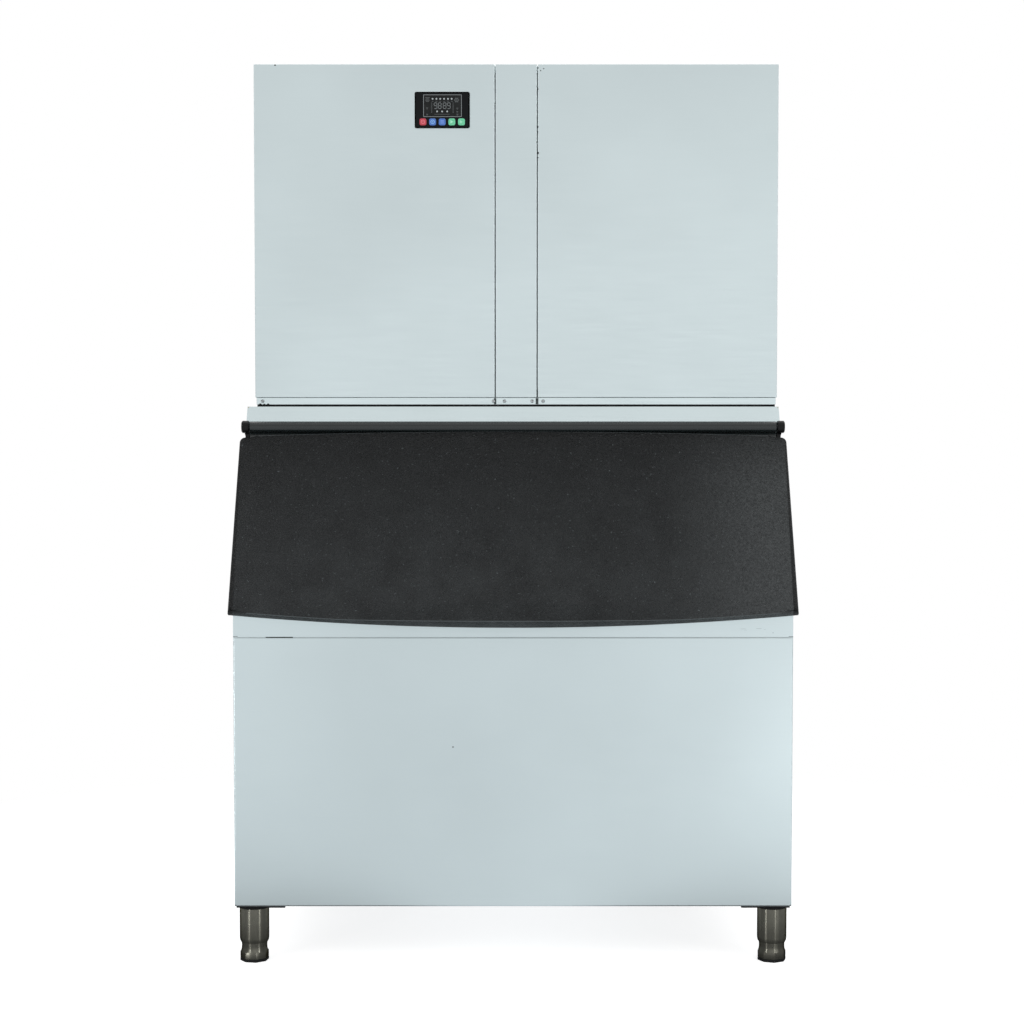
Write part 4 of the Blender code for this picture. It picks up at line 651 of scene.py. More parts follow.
def add_lid_face(bm):
    """Bent grid of the lid's face, its border drawn back to a rim with round top corners."""
    columns = lid_columns()
    rows = lid_rows()
    bmesh.ops.create_grid(bm, x_segments=len(columns) - 1, y_segments=len(rows) - 1, size=1.0)
    for vert in bm.verts:
        column = round((vert.co.x + 1.0) / 2 * (len(columns) - 1))
        row = round((1.0 - vert.co.y) / 2 * (len(rows) - 1))
        vert.co = lid_point(columns[column], rows[row])
    if sum(face.normal.z for face in bm.faces) < 0:
        bmesh.ops.reverse_faces(bm, faces=bm.faces)
    border = [edge for edge in bm.edges if edge.is_boundary]
    top_corners = [
        vert for vert in bm.verts if len(vert.link_edges) == 2 and vert.co.y > -LID_BOTTOM / 2]
    drawn = bmesh.ops.extrude_edge_only(bm, edges=border)
    for item in drawn["geom"]:
        if isinstance(item, bmesh.types.BMVert):
            item.co.z = LID_RIM_BACK
    upright = [
        edge for edge in bm.edges
        if any(vert in top_corners for vert in edge.verts)
        and abs((edge.verts[0].co - edge.verts[1].co).normalized().z) > 0.9
    ]
    round_off(bm, upright, LID_CORNER, 5)
    bm.normal_update()


def lies_on(edge, curve):
    """Whether an edge follows a curve that gives the distance down the slope at x."""
    return all(abs(vert.co.y + curve(vert.co.x)) < 0.0005 for vert in edge.verts)


def make_lid(name, crest_material):
    """Lid with rolled sides, crisp lines with a painted highlight along its rim and lower edge, and its wall."""
    look = settings().lid
    bm = bmesh.new()
    add_lid_face(bm)
    sharp = [
        edge for edge in bm.edges
        if len(edge.link_faces) == 2 and edge.calc_face_angle(0.0) > math.radians(50)
        and all(vert.co.z > LID_RIM_BACK / 2 for vert in edge.verts)
    ]
    inner_x = LID_WIDTH / 2 - 2 * LID_FIRST
    crisp = [
        edge for edge in sharp
        if all(abs(vert.co.x) < inner_x for vert in edge.verts)
        and (lies_on(edge, lid_bottom) or lies_on(edge, lid_top))
    ]
    sides = [edge for edge in sharp if edge not in crisp]
    # The crisp edges take the second material, a paler plastic that paints a highlight along them.
    round_off(bm, crisp, look.crest, 2, 1)
    round_off(bm, [edge for edge in sides if edge.is_valid], look.edge_radius, 5)
    clean(bm)
    if sum(face.normal.z * face.calc_area() for face in bm.faces) < 0:
        bmesh.ops.reverse_faces(bm, faces=bm.faces)
    lid = add_mesh(
        name, bm, "lid", "black_grained_plastic", None, SLOPE_FRAME, 40.0, ["lid_shell"])
    lid.data.materials.append(crest_material)
    thicken(lid, look.wall)


def make_barrel(name, material):
    """Hinge barrel moulded along the lid's top, with its thin web to the rim."""
    lip = 0.0012
    web_half = BARREL_HALF - 0.001
    into_rim = 0.002
    bm = bmesh.new()
    profile = [
        (0.0, BARREL_HALF), (BARREL_RADIUS - lip, BARREL_HALF), (BARREL_RADIUS, BARREL_HALF - lip),
        (BARREL_RADIUS, lip - BARREL_HALF), (BARREL_RADIUS - lip, -BARREL_HALF),
        (0.0, -BARREL_HALF)]
    add_turned(bm, profile, 48, axis=(1.0, 0.0, 0.0))
    web = add_block(bm, (-web_half, -1.0, WEB_BACK), (web_half, 0.0, WEB_BACK + WEB_THICKNESS))
    long_edges = [
        edge for edge in bm.edges
        if all(vert in web for vert in edge.verts)
        and abs(edge.verts[0].co.x - edge.verts[1].co.x) > BARREL_HALF]
    bmesh.ops.subdivide_edges(bm, edges=long_edges, cuts=23)
    for vert in bm.verts:
        if vert.co.y < -0.5:
            vert.co.y = -(lid_top(vert.co.x) + into_rim)
    clean(bm)
    add_mesh(name, bm, "lid", "black_grained_plastic", material, SLOPE_FRAME)


# Hinge brackets
def make_bracket(name, side, node):
    """Knuckle with chamfered ends on an arm that stands on the slope."""
    inner = BARREL_HALF + 0.0008
    length = 0.0175
    radius = 0.0140
    chamfer = 0.0022
    bore = 0.0053
    dimple = length - 0.0015    # end face round the rod, a little set back
    bm = bmesh.new()
    profile = [
        (bore, 0.0), (radius - chamfer, 0.0), (radius, chamfer), (radius, length - chamfer),
        (radius - chamfer, length), (radius * 0.62, length), (radius * 0.58, dimple),
        (bore, dimple), (bore, 0.0)]
    add_turned(bm, profile, 40, (side * inner, 0.0, 0.0), (side, 0.0, 0.0))
    seat = -0.0217
    arm_top = 0.012
    arm_low = -0.0245
    foot_length = 0.0075
    ends = sorted((side * inner, side * (inner + length)))
    arm = add_block(bm, (ends[0], arm_low, seat), (ends[1], arm_top, -0.006))
    for vert in arm:
        if vert.co.z > -0.01 and vert.co.y > 0:
            vert.co.y *= 0.72
        if vert.co.y < 0 and abs(vert.co.x) > inner + 0.001:
            vert.co.x = side * (inner + foot_length)
    round_off(bm, edges_of(arm), 0.0008, 2)
    face_outward(bm)
    add_mesh(
        name, bm, CABINET, "black_moulded_plastic", place=SLOPE_FRAME, stands_for=[node])


# Legs
FOOT_CORNER = 0.0316        # foot's octagon from its middle to a corner
FOOT_TOP = 0.0215
FOOT_PAD = 0.0065
FOOT_TURNS = {"front_left": 12.0, "front_right": 5.0, "rear_left": 20.0, "rear_right": 31.0}


def make_leg_tube(corner):
    """Outer tube of a leg with its drawn-in lower lip, and the black ring under its plate."""
    low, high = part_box("leg_tube_" + corner)
    centre = ((low.x + high.x) / 2, (low.y + high.y) / 2, 0.0)
    radius = (high.x - low.x) / 2
    steps = settings().legs.steps
    lip = 0.0012
    wall = 0.0034
    profile = [(0.0, high.z), (radius - lip, high.z)]
    profile += arc((radius - lip, high.z - lip), lip, 4)
    profile += [(radius, low.z + 0.0100), (radius - 0.0003, low.z + 0.0070)]
    profile += [(radius - 0.0010, low.z + 0.0035), (radius - 0.0022, low.z + 0.0008)]
    profile += [(radius - 0.0026, low.z), (radius - wall, low.z + 0.0004)]
    profile += [(radius - wall, high.z - wall), (0.0, high.z - wall)]
    bm = bmesh.new()
    add_turned(bm, profile, steps, centre)
    face_outward(bm)
    add_mesh(
        "tube_" + corner, bm, CABINET, "nickel_plated_leg", stands_for=["leg_tube_" + corner])
    ring = bmesh.new()
    ring_top = high.z + 0.0002
    ring_low = high.z - 0.0068
    ring_edge = 0.0006
    profile = [
        (radius, ring_top), (radius + 0.0011, ring_top), (radius + 0.0011, ring_low + ring_edge),
        (radius + 0.0005, ring_low), (radius, ring_low), (radius, ring_top)]
    add_turned(ring, profile, steps, centre)
    face_outward(ring)
    add_mesh("tube_ring_" + corner, ring, CABINET, "black_rubber")


def add_octagon(bm, turn, low, high, corner, rounding):
    """Octagonal block about Z with its edges softened."""
    made = bmesh.ops.create_cone(
        bm, cap_ends=True, segments=8, radius1=corner, radius2=corner, depth=high - low)["verts"]
    place = Matrix.Translation((0.0, 0.0, (low + high) / 2)) @ Matrix.Rotation(turn, 4, 'Z')
    bmesh.ops.transform(bm, matrix=place, verts=made)
    round_off(bm, edges_of(made), rounding, 2)


def make_foot(corner):
    """Screwed foot: stem with a soft waist, an octagon to turn it by, and a rubber pad."""
    low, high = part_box("foot_" + corner)
    place = Matrix.Translation(((low.x + high.x) / 2, (low.y + high.y) / 2, 0.0))
    turn = math.radians(FOOT_TURNS[corner])
    body = "foot_body_" + corner
    profile = [(0.0, high.z), (0.0284, high.z), (0.0284, 0.0400), (0.0280, 0.0345)]
    profile += [(0.0280, 0.0310), (0.0285, 0.0262), (0.0295, 0.0228), (0.0298, FOOT_TOP)]
    profile += [(0.0, FOOT_TOP)]
    bm = bmesh.new()
    add_turned(bm, profile, settings().legs.steps)
    add_octagon(bm, turn, FOOT_PAD, FOOT_TOP, FOOT_CORNER, 0.0007)
    face_outward(bm)
    add_mesh(
        "screw_foot_" + corner, bm, body, "nickel_plated_leg", None, place, 30.0,
        ["foot_" + corner])
    pad = bmesh.new()
    add_octagon(pad, turn, 0.0, FOOT_PAD - 0.0002, FOOT_CORNER + 0.0002, 0.0009)
    face_outward(pad)
    add_mesh("foot_pad_" + corner, pad, body, "black_rubber", None, place, 30.0)


# Control plate, in the front frame with its middle at the origin
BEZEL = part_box("control_bezel")
PLATE_WIDTH = BEZEL[1].x - BEZEL[0].x
PLATE_HEIGHT = BEZEL[1].z - BEZEL[0].z
PLATE_FACE = HEAD_FRONT - BEZEL[0].y
PLATE_FRAME = Matrix.Translation((
    (BEZEL[0].x + BEZEL[1].x) / 2, HEAD_FRONT, (BEZEL[0].z + BEZEL[1].z) / 2)) @ FRONT_FRAME
PLATE_RIM = 0.0034
PRINT_FACE = PLATE_FACE - 0.0002
MARK_DEPTH = 0.00008
WINDOW = (0.0866, 0.0495)
WINDOW_MIDDLE = (0.0006, 0.0095)
WINDOW_LINE = 0.0011
DOT_RADIUS = 0.0019
DOTS = ([(x, 0.0252) for x in (-0.0220, -0.0132, -0.0045, 0.0043, 0.0132, 0.0216)]
        + [(x, -0.0034) for x in (-0.0117, -0.0002, 0.0114)])
DIGITS_X = (-0.0153, -0.0056, 0.0054, 0.0150)
DIGITS_Y = 0.0096
DIAL = (0.0328, 0.0225)     # small ring with dots round it
FAINT_WORDS = (             # small marks in two lines: x, y and width
    (-0.0345, 0.0045, 0.0044), (-0.0345, -0.0098, 0.0040), (0.0345, 0.0040, 0.0046),
    (0.0345, -0.0035, 0.0040), (0.0345, -0.0098, 0.0046))
SEGMENTS = {
    "0": "abcdef", "1": "bc", "2": "abged", "3": "abgcd", "4": "fgbc", "5": "afgcd",
    "6": "afgedc", "7": "abc", "8": "abcdefg", "9": "abcdfg"}
KEY_ICONS = {
    "key_red": ("ring", "#f0808c"), "key_blue_left": ("ring", "#8fc0f4"),
    "key_blue_right": ("bars", "#86a8f2"), "key_green_left": ("arrow", "#b4f5d4"),
    "key_green_right": ("arrow", "#a6ecca")}


def add_mark(bm, x, y, width, height, face=PRINT_FACE):
    """Small printed block on the display or on a key."""
    add_block(
        bm, (x - width / 2, y - height / 2, face),
        (x + width / 2, y + height / 2, face + MARK_DEPTH))


def add_disc(bm, x, y, outer, inner=0.0, face=PRINT_FACE):
    """Small printed dot, or a ring where an inner radius is given."""
    top = face + MARK_DEPTH
    profile = [(inner, top), (outer, top), (outer, face), (inner, face)]
    if inner:
        profile.append(profile[0])
    add_turned(bm, profile, 20, (x, y, 0.0))


def add_digit(bm, digit, x, y, height):
    """Seven-segment digit about its middle."""
    width = height * 0.50
    stroke = height * 0.075
    half = height / 2
    shrink = 0.78               # gaps between the segments' ends
    places = {
        "a": (0, half, width, stroke), "g": (0, 0, width, stroke), "d": (0, -half, width, stroke),
        "b": (width / 2, half / 2, stroke, half), "c": (width / 2, -half / 2, stroke, half),
        "f": (-width / 2, half / 2, stroke, half), "e": (-width / 2, -half / 2, stroke, half)}
    for segment in SEGMENTS[digit]:
        dx, dy, wide, tall = places[segment]
        add_mark(
            bm, x + dx, y + dy, wide * (shrink if wide > tall else 1.0),
            tall * (shrink if tall > wide else 1.0))


def add_faint_print(bm):
    """Scales, words too small to read, and the dial of the display, as plain marks."""
    for place in range(6):
        add_mark(bm, (place - 2.5) * 0.0088, 0.0196, 0.0046, 0.0010)
    for x in (-0.0242, 0.0249):
        for step in range(9):
            add_mark(bm, x, 0.0160 - step * 0.0027, 0.0026, 0.0011)
    add_mark(bm, -0.0005, -0.0098, 0.0350, 0.0009)
    for row in range(4):
        add_mark(bm, -0.0336, 0.0278 - row * 0.0028, 0.0104 - (row % 2) * 0.0030, 0.0014)
    add_disc(bm, *DIAL, 0.0048, 0.0030)
    add_disc(bm, *DIAL, 0.0014)
    for angle in range(0, 360, 60):
        x = DIAL[0] + 0.0056 * math.cos(math.radians(angle))
        y = DIAL[1] + 0.0056 * math.sin(math.radians(angle))
        add_disc(bm, x, y, 0.0007)
    for x, y, wide in FAINT_WORDS:
        add_mark(bm, x, y, wide, 0.0014)
        add_mark(bm, x, y - 0.0024, wide * 0.6, 0.0010)


def make_display(bright, middling, dim):
    """Printed frame, dots and digits of the display, and its fainter print."""
    look = settings().control
    dots, lines, faint = (bmesh.new() for _ in range(3))
    x, y = WINDOW_MIDDLE
    width, height = WINDOW
    raised = PRINT_FACE + 0.0002
    for side in (-1, 1):
        add_mark(lines, x + side * width / 2, y, WINDOW_LINE, height + WINDOW_LINE, raised)
        add_mark(lines, x, y + side * height / 2, width, WINDOW_LINE, raised)
    for place in DOTS:
        add_disc(dots, *place, DOT_RADIUS)
    for place, digit in zip(DIGITS_X, look.digits):
        add_digit(lines, digit, place, DIGITS_Y, look.digit_height * 0.92)
    add_faint_print(faint)
    for name, bm, material in (
            ("display_dots", dots, bright), ("display_lines", lines, middling),
            ("display_faint_print", faint, dim)):
        add_mesh(name, bm, CABINET, "smoked_display", material, PLATE_FRAME, 30.0)


def make_bezel():
    """Plate with rounded corners and a soft front edge, round the window and the keys."""
    bm = bmesh.new()
    back = 0.0006
    end = 0.003                 # bars of the rim stop short of the round corners
    half_bar = PLATE_RIM / 2
    add_rounded_plate(bm, PLATE_WIDTH, PLATE_HEIGHT, 0.004, PLATE_FACE - 0.0010, 0.0003)
    for side in (-1, 1):
        x = side * (PLATE_WIDTH / 2 - half_bar)
        y = side * (PLATE_HEIGHT / 2 - half_bar)
        add_block(
            bm, (x - half_bar, end - PLATE_HEIGHT / 2, back),
            (x + half_bar, PLATE_HEIGHT / 2 - end, PLATE_FACE), 0.0005)
        add_block(
            bm, (end - PLATE_WIDTH / 2, y - half_bar, back),
            (PLATE_WIDTH / 2 - end, y + half_bar, PLATE_FACE), 0.0005)
    face_outward(bm)
    add_mesh("bezel_rim", bm, CABINET, "gloss_black_panel", place=PLATE_FRAME)


def make_key_icon(node, material, kind):
    """Printed symbol on a key: a ring, bars or an arrow."""
    low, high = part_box(node)
    middle = Matrix.Translation(((low.x + high.x) / 2, low.y, (low.z + high.z) / 2)) @ FRONT_FRAME
    bm = bmesh.new()
    if kind == "ring":
        add_disc(bm, 0.0, 0.0, 0.0048, 0.0034, 0.0)
        add_disc(bm, 0.0, 0.0, 0.0013, 0.0, 0.0)
    elif kind == "bars":
        for row in range(3):
            add_mark(bm, 0.0, 0.0028 - row * 0.0028, 0.0078, 0.0012, 0.0)
    else:
        for step in range(4):
            add_mark(bm, -0.0024 + step * 0.0014, 0.0, 0.0015, 0.0070 - step * 0.0018, 0.0)
    add_mesh(node + "_icon", bm, "body_" + node, None, material, middle, 30.0)


# Screws
RAIL_SCREWS = (-0.5835, -0.0520, -0.0266, 0.0370, 0.0622)   # from the head's middle
BACK_SCREW_EDGE = 0.012     # from the edges of the head's back
SLOT_TURN = 0.9             # turn of the first screw's slot, in radians
SLOT_STEP = 1.7             # further turn from one screw to the next


def add_pan_head(bm, place, slot_turn):
    """Slotted pan head about the origin of a frame whose z points out, then put in its place."""
    look = settings().screws
    radius = look.head_radius
    height = look.head_height
    crown = radius * 0.45
    profile = [(0.0, height)]
    profile += arc((radius - crown, height - crown * 0.8), crown * 0.8, 3)
    profile += [(radius, 0.0), (0.0, 0.0)]
    made = add_turned(bm, profile, 20)
    slot = radius * 0.13
    before = set(bm.verts)
    faces = list({face for vert in made for face in vert.link_faces})
    for offset in (-slot, slot):
        bmesh.ops.bisect_plane(
            bm, geom=made + faces + edges_of(made), plane_co=(offset, 0.0, 0.0),
            plane_no=(1.0, 0.0, 0.0))
        made += [vert for vert in bm.verts if vert not in before]
        before = set(bm.verts)
        made = [vert for vert in made if vert.is_valid]
        faces = list({face for vert in made for face in vert.link_faces})
    for vert in made:
        if abs(vert.co.x) < slot * 0.9 and vert.co.z > height * 0.5:
            vert.co.z -= height * 0.5
    bmesh.ops.transform(bm, matrix=place @ Matrix.Rotation(slot_turn, 4, 'Z'), verts=made)


def make_screws(name, places, normal):
    """Row of screws with their slots at different angles, in one piece."""
    bm = bmesh.new()
    for number, place in enumerate(places):
        turn = SLOT_TURN + number * SLOT_STEP
        add_pan_head(bm, Matrix.Translation(place) @ turn_to(normal), turn)
    add_mesh(name, bm, CABINET, "bright_steel", smooth=30.0)


# Front sheet and marks of use
SHEET_CORNER = 0.0045
SHEET_ROLL = 0.0024
SHEET_DEPTH = 0.008
SEAM_STEP = 0.010                   # narrower ends of the seam's painted shade line, where its darker steps lie
SEAM_CRACK = (-0.5389, -0.4795)     # open stretch of the front seam, from the middle
# Dark marks on the rail under the centre strip's seams: painted shade of the seam gaps, with grime.
RAIL_SEAM_MARKS = ((-0.0482, 0.0052), (0.0482, 0.0064))    # place from the head's middle, width
SEAM_STROKE = (0.0482, 0.0500)      # dark stroke above the rail, from the head's middle
CHIPS = (                           # chips along the right seam: x and z in the head, width, height
    (0.0505, 0.7675, 0.0034, 0.0030), (0.0560, 0.7616, 0.0030, 0.0038),
    (0.0630, 0.7661, 0.0036, 0.0030), (0.0498, 0.7199, 0.0040, 0.0046),
    (0.0496, 0.6337, 0.0036, 0.0062), (0.0490, 0.6223, 0.0030, 0.0050),
    (0.0480, 0.5996, 0.0034, 0.0046), (0.0504, 0.5745, 0.0046, 0.0062),
    (0.0500, 0.5641, 0.0030, 0.0030))
DOOR_CHIP = (-0.5509, -0.0022, 0.0052, 0.0040)  # from the head's middle and the door's top
FRONT_CHIP = (-0.1313, 0.4812, 0.0040, 0.0036)  # x, z, width, height on the lower front
SCRATCHES = (                       # faint scratches by the right end: x, z, length, thickness
    (0.5010, 0.7400, 0.0180, 0.0012), (0.5060, 0.7372, 0.0100, 0.0008),
    (0.5350, 0.7406, 0.0190, 0.0014), (0.5480, 0.7384, 0.0080, 0.0010),
    (0.5660, 0.7315, 0.0040, 0.0030))
SEAL_LUMPS = ((0.011, 0.0036), (0.0205, 0.0030), (0.0290, 0.0034))  # from the left end, radius


def make_front_sheet(name):
    """Lower front sheet with rounded lower corners, its edges all rolled back."""
    low, high = BIN_FRONT
    top = high.z - 0.0005
    bm = bmesh.new()
    made = bmesh.ops.create_cube(bm, size=1.0)["verts"]
    bmesh.ops.scale(bm, verts=made, vec=(high.x - low.x, SHEET_DEPTH, top - low.z))
    corners = [
        edge for edge in bm.edges
        if all(vert.co.z < 0 for vert in edge.verts)
        and abs(edge.verts[0].co.x - edge.verts[1].co.x) < 0.001
    ]
    round_off(bm, corners, SHEET_CORNER, 6)
    in_front = 0.0001 - SHEET_DEPTH / 2
    round_off(
        bm, [edge for edge in bm.edges if all(vert.co.y < in_front for vert in edge.verts)],
        SHEET_ROLL, 4)
    back = [face for face in bm.faces if face.normal.y > 0.9]
    bmesh.ops.delete(bm, geom=back, context='FACES')
    place = Matrix.Translation((
        (low.x + high.x) / 2, low.y + SHEET_DEPTH / 2, (low.z + top) / 2))
    thicken(add_mesh(
        name, bm, CABINET, "stainless_sheet", None, place, 8.0, ["bin_front_panel"]), 0.0006)


def add_crumb(bm, x, y, z, width, height, turn=0.4):
    """Small six-sided flake that lies on a front face."""
    made = bmesh.ops.create_cone(
        bm, cap_ends=True, segments=6, radius1=0.5, radius2=0.36, depth=1.0)["verts"]
    size = Matrix.Diagonal((width, height, 0.0006, 1.0))
    place = Matrix.Translation((x, y, z)) @ FRONT_FRAME @ size @ Matrix.Rotation(turn, 4, 'Z')
    bmesh.ops.transform(bm, matrix=place, verts=made)


def make_seam(material, dark):
    """Grey line of painted shade along the front seam, darker in its open stretch and at its end steps."""
    y = BIN_FRONT[0].y
    z = BIN_FRONT[1].z
    half = (BIN_FRONT[1].x - BIN_FRONT[0].x) / 2
    step = half - SEAM_STEP
    # The grey strip along the seam is painted shade of the groove between the two sheets.
    sealer = bmesh.new()
    add_block(sealer, (-half, y + 0.0004, z - 0.0012), (half, y + 0.0022, z + 0.0024))
    add_block(sealer, (-step, y - 0.0002, z - 0.0006), (step, y + 0.0020, z + 0.0004))
    add_mesh("front_seam_shade_line", sealer, CABINET, None, material, smooth=30.0)
    # The seam's open stretch and its two end steps are dark blocks: painted shade in the gap.
    gap_shade = bmesh.new()
    low, high = SEAM_CRACK
    add_block(
        gap_shade, (low, y - 0.0005, z - 0.0014), (high, y + 0.0020, z + 0.0009), 0.0004, 1)
    for side in (-1, 1):
        ends = sorted((side * step, side * half))
        add_block(gap_shade, (ends[0], y - 0.0002, z + 0.0013), (ends[1], y + 0.0020, z + 0.0022))
    add_mesh("front_seam_gap_shade", gap_shade, CABINET, None, dark, smooth=30.0)


def make_marks(dark, faint):
    """Chips along the head's right seam, a stroke above the rail, dark seam marks on the rail and scratches."""
    y = HEAD_FRONT - 0.0001
    bin_y = BIN_FRONT[0].y
    rail_y = TRAY[0].y
    chips, seam_marks, scratches = (bmesh.new() for _ in range(3))
    for number, (x, z, width, height) in enumerate(CHIPS):
        add_crumb(chips, HEAD_X + x, y, HEAD_BASE + z, width, height, 0.4 + number)
    add_block(
        chips, (HEAD_X + SEAM_STROKE[0], y - 0.0002, HEAD_BASE + 0.0150),
        (HEAD_X + SEAM_STROKE[1], y + 0.0002, HEAD_BASE + 0.0350))
    x, z, width, height = DOOR_CHIP
    add_crumb(chips, HEAD_X + x, y, LEFT_DOOR[1].z + z, width, height)
    x, z, width, height = FRONT_CHIP
    add_crumb(chips, x, bin_y - 0.0001, z, width, height)
    # Rail seam marks: painted shade of the seam gaps, with grime.
    for x, width in RAIL_SEAM_MARKS:
        add_block(
            seam_marks, (HEAD_X + x - width / 2, rail_y - 0.0002, TRAY[0].z + 0.0004),
            (HEAD_X + x + width / 2, rail_y + 0.0004, TRAY[1].z - 0.0006))
    for x, z, length, thickness in SCRATCHES:
        add_crumb(scratches, x, bin_y + 0.0002, z, length, thickness, 0.0)
    for name, bm, material in (
            ("seam_chips", chips, dark), ("rail_seams", seam_marks, dark),
            ("front_scratches", scratches, faint)):
        add_mesh(name, bm, CABINET, None, material, smooth=30.0)


def make_seal_bead():
    """Uneven bead of sealer squeezed out under the head, with the lumps at its left end."""
    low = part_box("bin_top_deck")[1].z
    half = HEAD_WIDTH / 2 - 0.004
    y = HEAD_FRONT + 0.0035
    bm = bmesh.new()
    add_block(bm, (HEAD_X - half, y, low - 0.0002), (HEAD_X + half, y + 0.004, HEAD_BASE))
    long_edges = [
        edge for edge in bm.edges if abs(edge.verts[0].co.x - edge.verts[1].co.x) > half]
    bmesh.ops.subdivide_edges(bm, edges=long_edges, cuts=240)
    for vert in bm.verts:
        if vert.co.y < y + 0.001:
            wave = math.sin(vert.co.x * 210) + math.sin(vert.co.x * 77 + 1.3)
            vert.co.y += 0.0007 * wave
    left = HEAD_X - HEAD_WIDTH / 2
    for x, radius in SEAL_LUMPS:
        lump = bmesh.ops.create_icosphere(bm, subdivisions=2, radius=radius)["verts"]
        bmesh.ops.translate(bm, verts=lump, vec=(left + x, HEAD_FRONT + 0.0020, HEAD_BASE - 0.0010))
    face_outward(bm)
    add_mesh("seal_bead", bm, CABINET, "black_rubber")


# Stage
CAMERA_DISTANCE = 4.351     # in front of the bin's front sheet
CAMERA_HEIGHT = 1.187
CAMERA_PITCH = math.radians(2.53)
CAMERA_X = -0.0025
CAMERA_LENS = 70.5          # millimetres on a 36 mm wide sensor
FLOOR_HALF = 14.0
WORLD_LIGHT = 0.80
MIRRORED_FLOOR = 0.79       # floor as metal sees it, against white at eye height
SHADED_FLOOR = 0.15         # the same in the shadow round each leg
LEG_SHADOW = (0.30, 0.50)   # distances from a leg between which that shadow fades
PAPER_FADE = (0.9, 2.2)     # distances from the machine between which the floor turns plain white
LAMP_AIMS = {
    "machine": (0.0, 0.0, 1.0),
    "left_leg": (-LEG_MIDDLE.x, -LEG_MIDDLE.y, 0.10),
    "right_leg": (LEG_MIDDLE.x, -LEG_MIDDLE.y, 0.10),
}
LAMPS = (                   # name, place, aim, width, height, radiance, spread in degrees
    ("left_softbox", (-3.8, -3.4, 2.7), "machine", 0.9, 2.0, 2.5, 180.0),
    ("right_softbox", (3.6, -3.7, 2.5), "machine", 0.9, 2.0, 3.2, 180.0),
    ("left_low_strip", (-1.75, -2.12, 0.27), "right_leg", 0.08, 0.5, 52.0, 90.0),
    ("right_low_strip", (1.20, -2.00, 0.27), "left_leg", 0.08, 0.5, 31.0, 90.0),
    ("top_softbox", (0.0, 0.9, 4.4), "machine", 2.6, 2.0, 1.6, 180.0),
)


def make_floor():
    """White floor: near the machine it keeps the shadow, further out it is plain white."""
    bm = bmesh.new()
    bmesh.ops.create_grid(bm, x_segments=1, y_segments=1, size=FLOOR_HALF)
    bmesh.ops.translate(bm, verts=bm.verts, vec=(0.0, 0.0, -0.0005))
    mesh = bpy.data.meshes.new("studio_floor")
    bm.to_mesh(mesh)
    bm.free()
    floor = bpy.data.objects.new("studio_floor", mesh)
    bpy.context.scene.collection.objects.link(floor)
    mesh.materials.append(white_floor())


def white_floor():
    """White studio paper: white to the eye, to metal and through glass, its shadow kept."""
    material = bpy.data.materials.new("white_studio_paper")
    floor = Nodes(material, cleared=True)
    distance = floor.add("VectorMath", {0: floor.place}, "Value", operation='LENGTH')
    far = floor.ranged(distance, PAPER_FADE, kind='SMOOTHSTEP')
    paper = floor.add("BsdfDiffuse", {"Color": linear("#f6f6f6")})
    glow = floor.add("Emission", {"Color": WHITE, "Strength": 0.72})
    plain = floor.add("Emission", {"Color": WHITE, "Strength": 1.0})
    near = floor.mixed_shader(far, floor.add("AddShader", {0: paper, 1: glow}), plain)
    straight = floor.mixed_shader(floor.seen(), paper, near)
    folded = floor.add("VectorMath", {0: floor.place}, operation='ABSOLUTE')
    from_leg = floor.add("VectorMath", {
        0: folded, 1: (LEG_MIDDLE.x, LEG_MIDDLE.y, 0.0)}, "Value", operation='DISTANCE')
    shade = floor.ranged(from_leg, LEG_SHADOW, (SHADED_FLOOR, MIRRORED_FLOOR), 'SMOOTHSTEP')
    mirrored = floor.add("Emission", {"Color": linear("#f9fcff"), "Strength": shade})
    floor.add("OutputMaterial", {
        "Surface": floor.mixed_shader(floor.ray("Glossy"), straight, mirrored)})
    return material


def make_surroundings():
    """Even soft light; white to the eye, and to metal a little dimmer up high and at the sides."""
    world = bpy.data.worlds.new("white_studio")
    sky = Nodes(world, "Generated", True)
    aside = sky.maths('ABSOLUTE', sky.axis("X"))
    up = sky.maths('ABSOLUTE', sky.axis("Z"))
    dim = sky.product(
        sky.ranged(aside, (0.42, 0.90), (1.0, 0.34), 'SMOOTHSTEP'),
        sky.ranged(up, (0.05, 0.26), (1.18, 0.61), 'SMOOTHSTEP'),
        sky.ranged(up, (0.35, 0.75), (1.0, 1.56), 'SMOOTHSTEP'),
        sky.ranged(sky.axis("X"), (-0.30, 0.30), (0.93, 1.07)))
    light, shown, mirrored = (
        sky.add("Background", {"Color": WHITE, "Strength": strength})
        for strength in (WORLD_LIGHT, 1.0, dim))
    sky.add("OutputWorld", {"Surface": sky.mixed_shader(
        sky.ray("Glossy"), sky.mixed_shader(sky.seen(), light, shown), mirrored)})
    bpy.context.scene.world = world


def add_lamp(name, place, target, width, height, radiance, spread):
    """Soft area lamp of a given brightness that looks at a target, unseen by the camera.

    A spread below 180 degrees narrows its beam, and the brightness is then that of its middle.
    """
    half_spread = math.radians(spread) / 2
    gathered = 1.0 - half_spread / math.tan(half_spread) if spread < 180.0 else 1.0
    data = bpy.data.lights.new(name, 'AREA')
    data.shape = 'RECTANGLE'
    data.size = width
    data.size_y = height
    data.spread = 2 * half_spread
    data.energy = radiance * math.pi * width * height * gathered
    lamp = bpy.data.objects.new(name, data)
    lamp.location = place
    lamp.rotation_mode = 'QUATERNION'
    lamp.rotation_quaternion = (Vector(target) - Vector(place)).to_track_quat('-Z', 'Y')
    lamp.visible_camera = False
    bpy.context.scene.collection.objects.link(lamp)


def make_lamps():
    """A softbox each side in front, a low strip each side for the legs, and a top light."""
    for name, place, aim, *light in LAMPS:
        add_lamp(name, place, LAMP_AIMS[aim], *light)


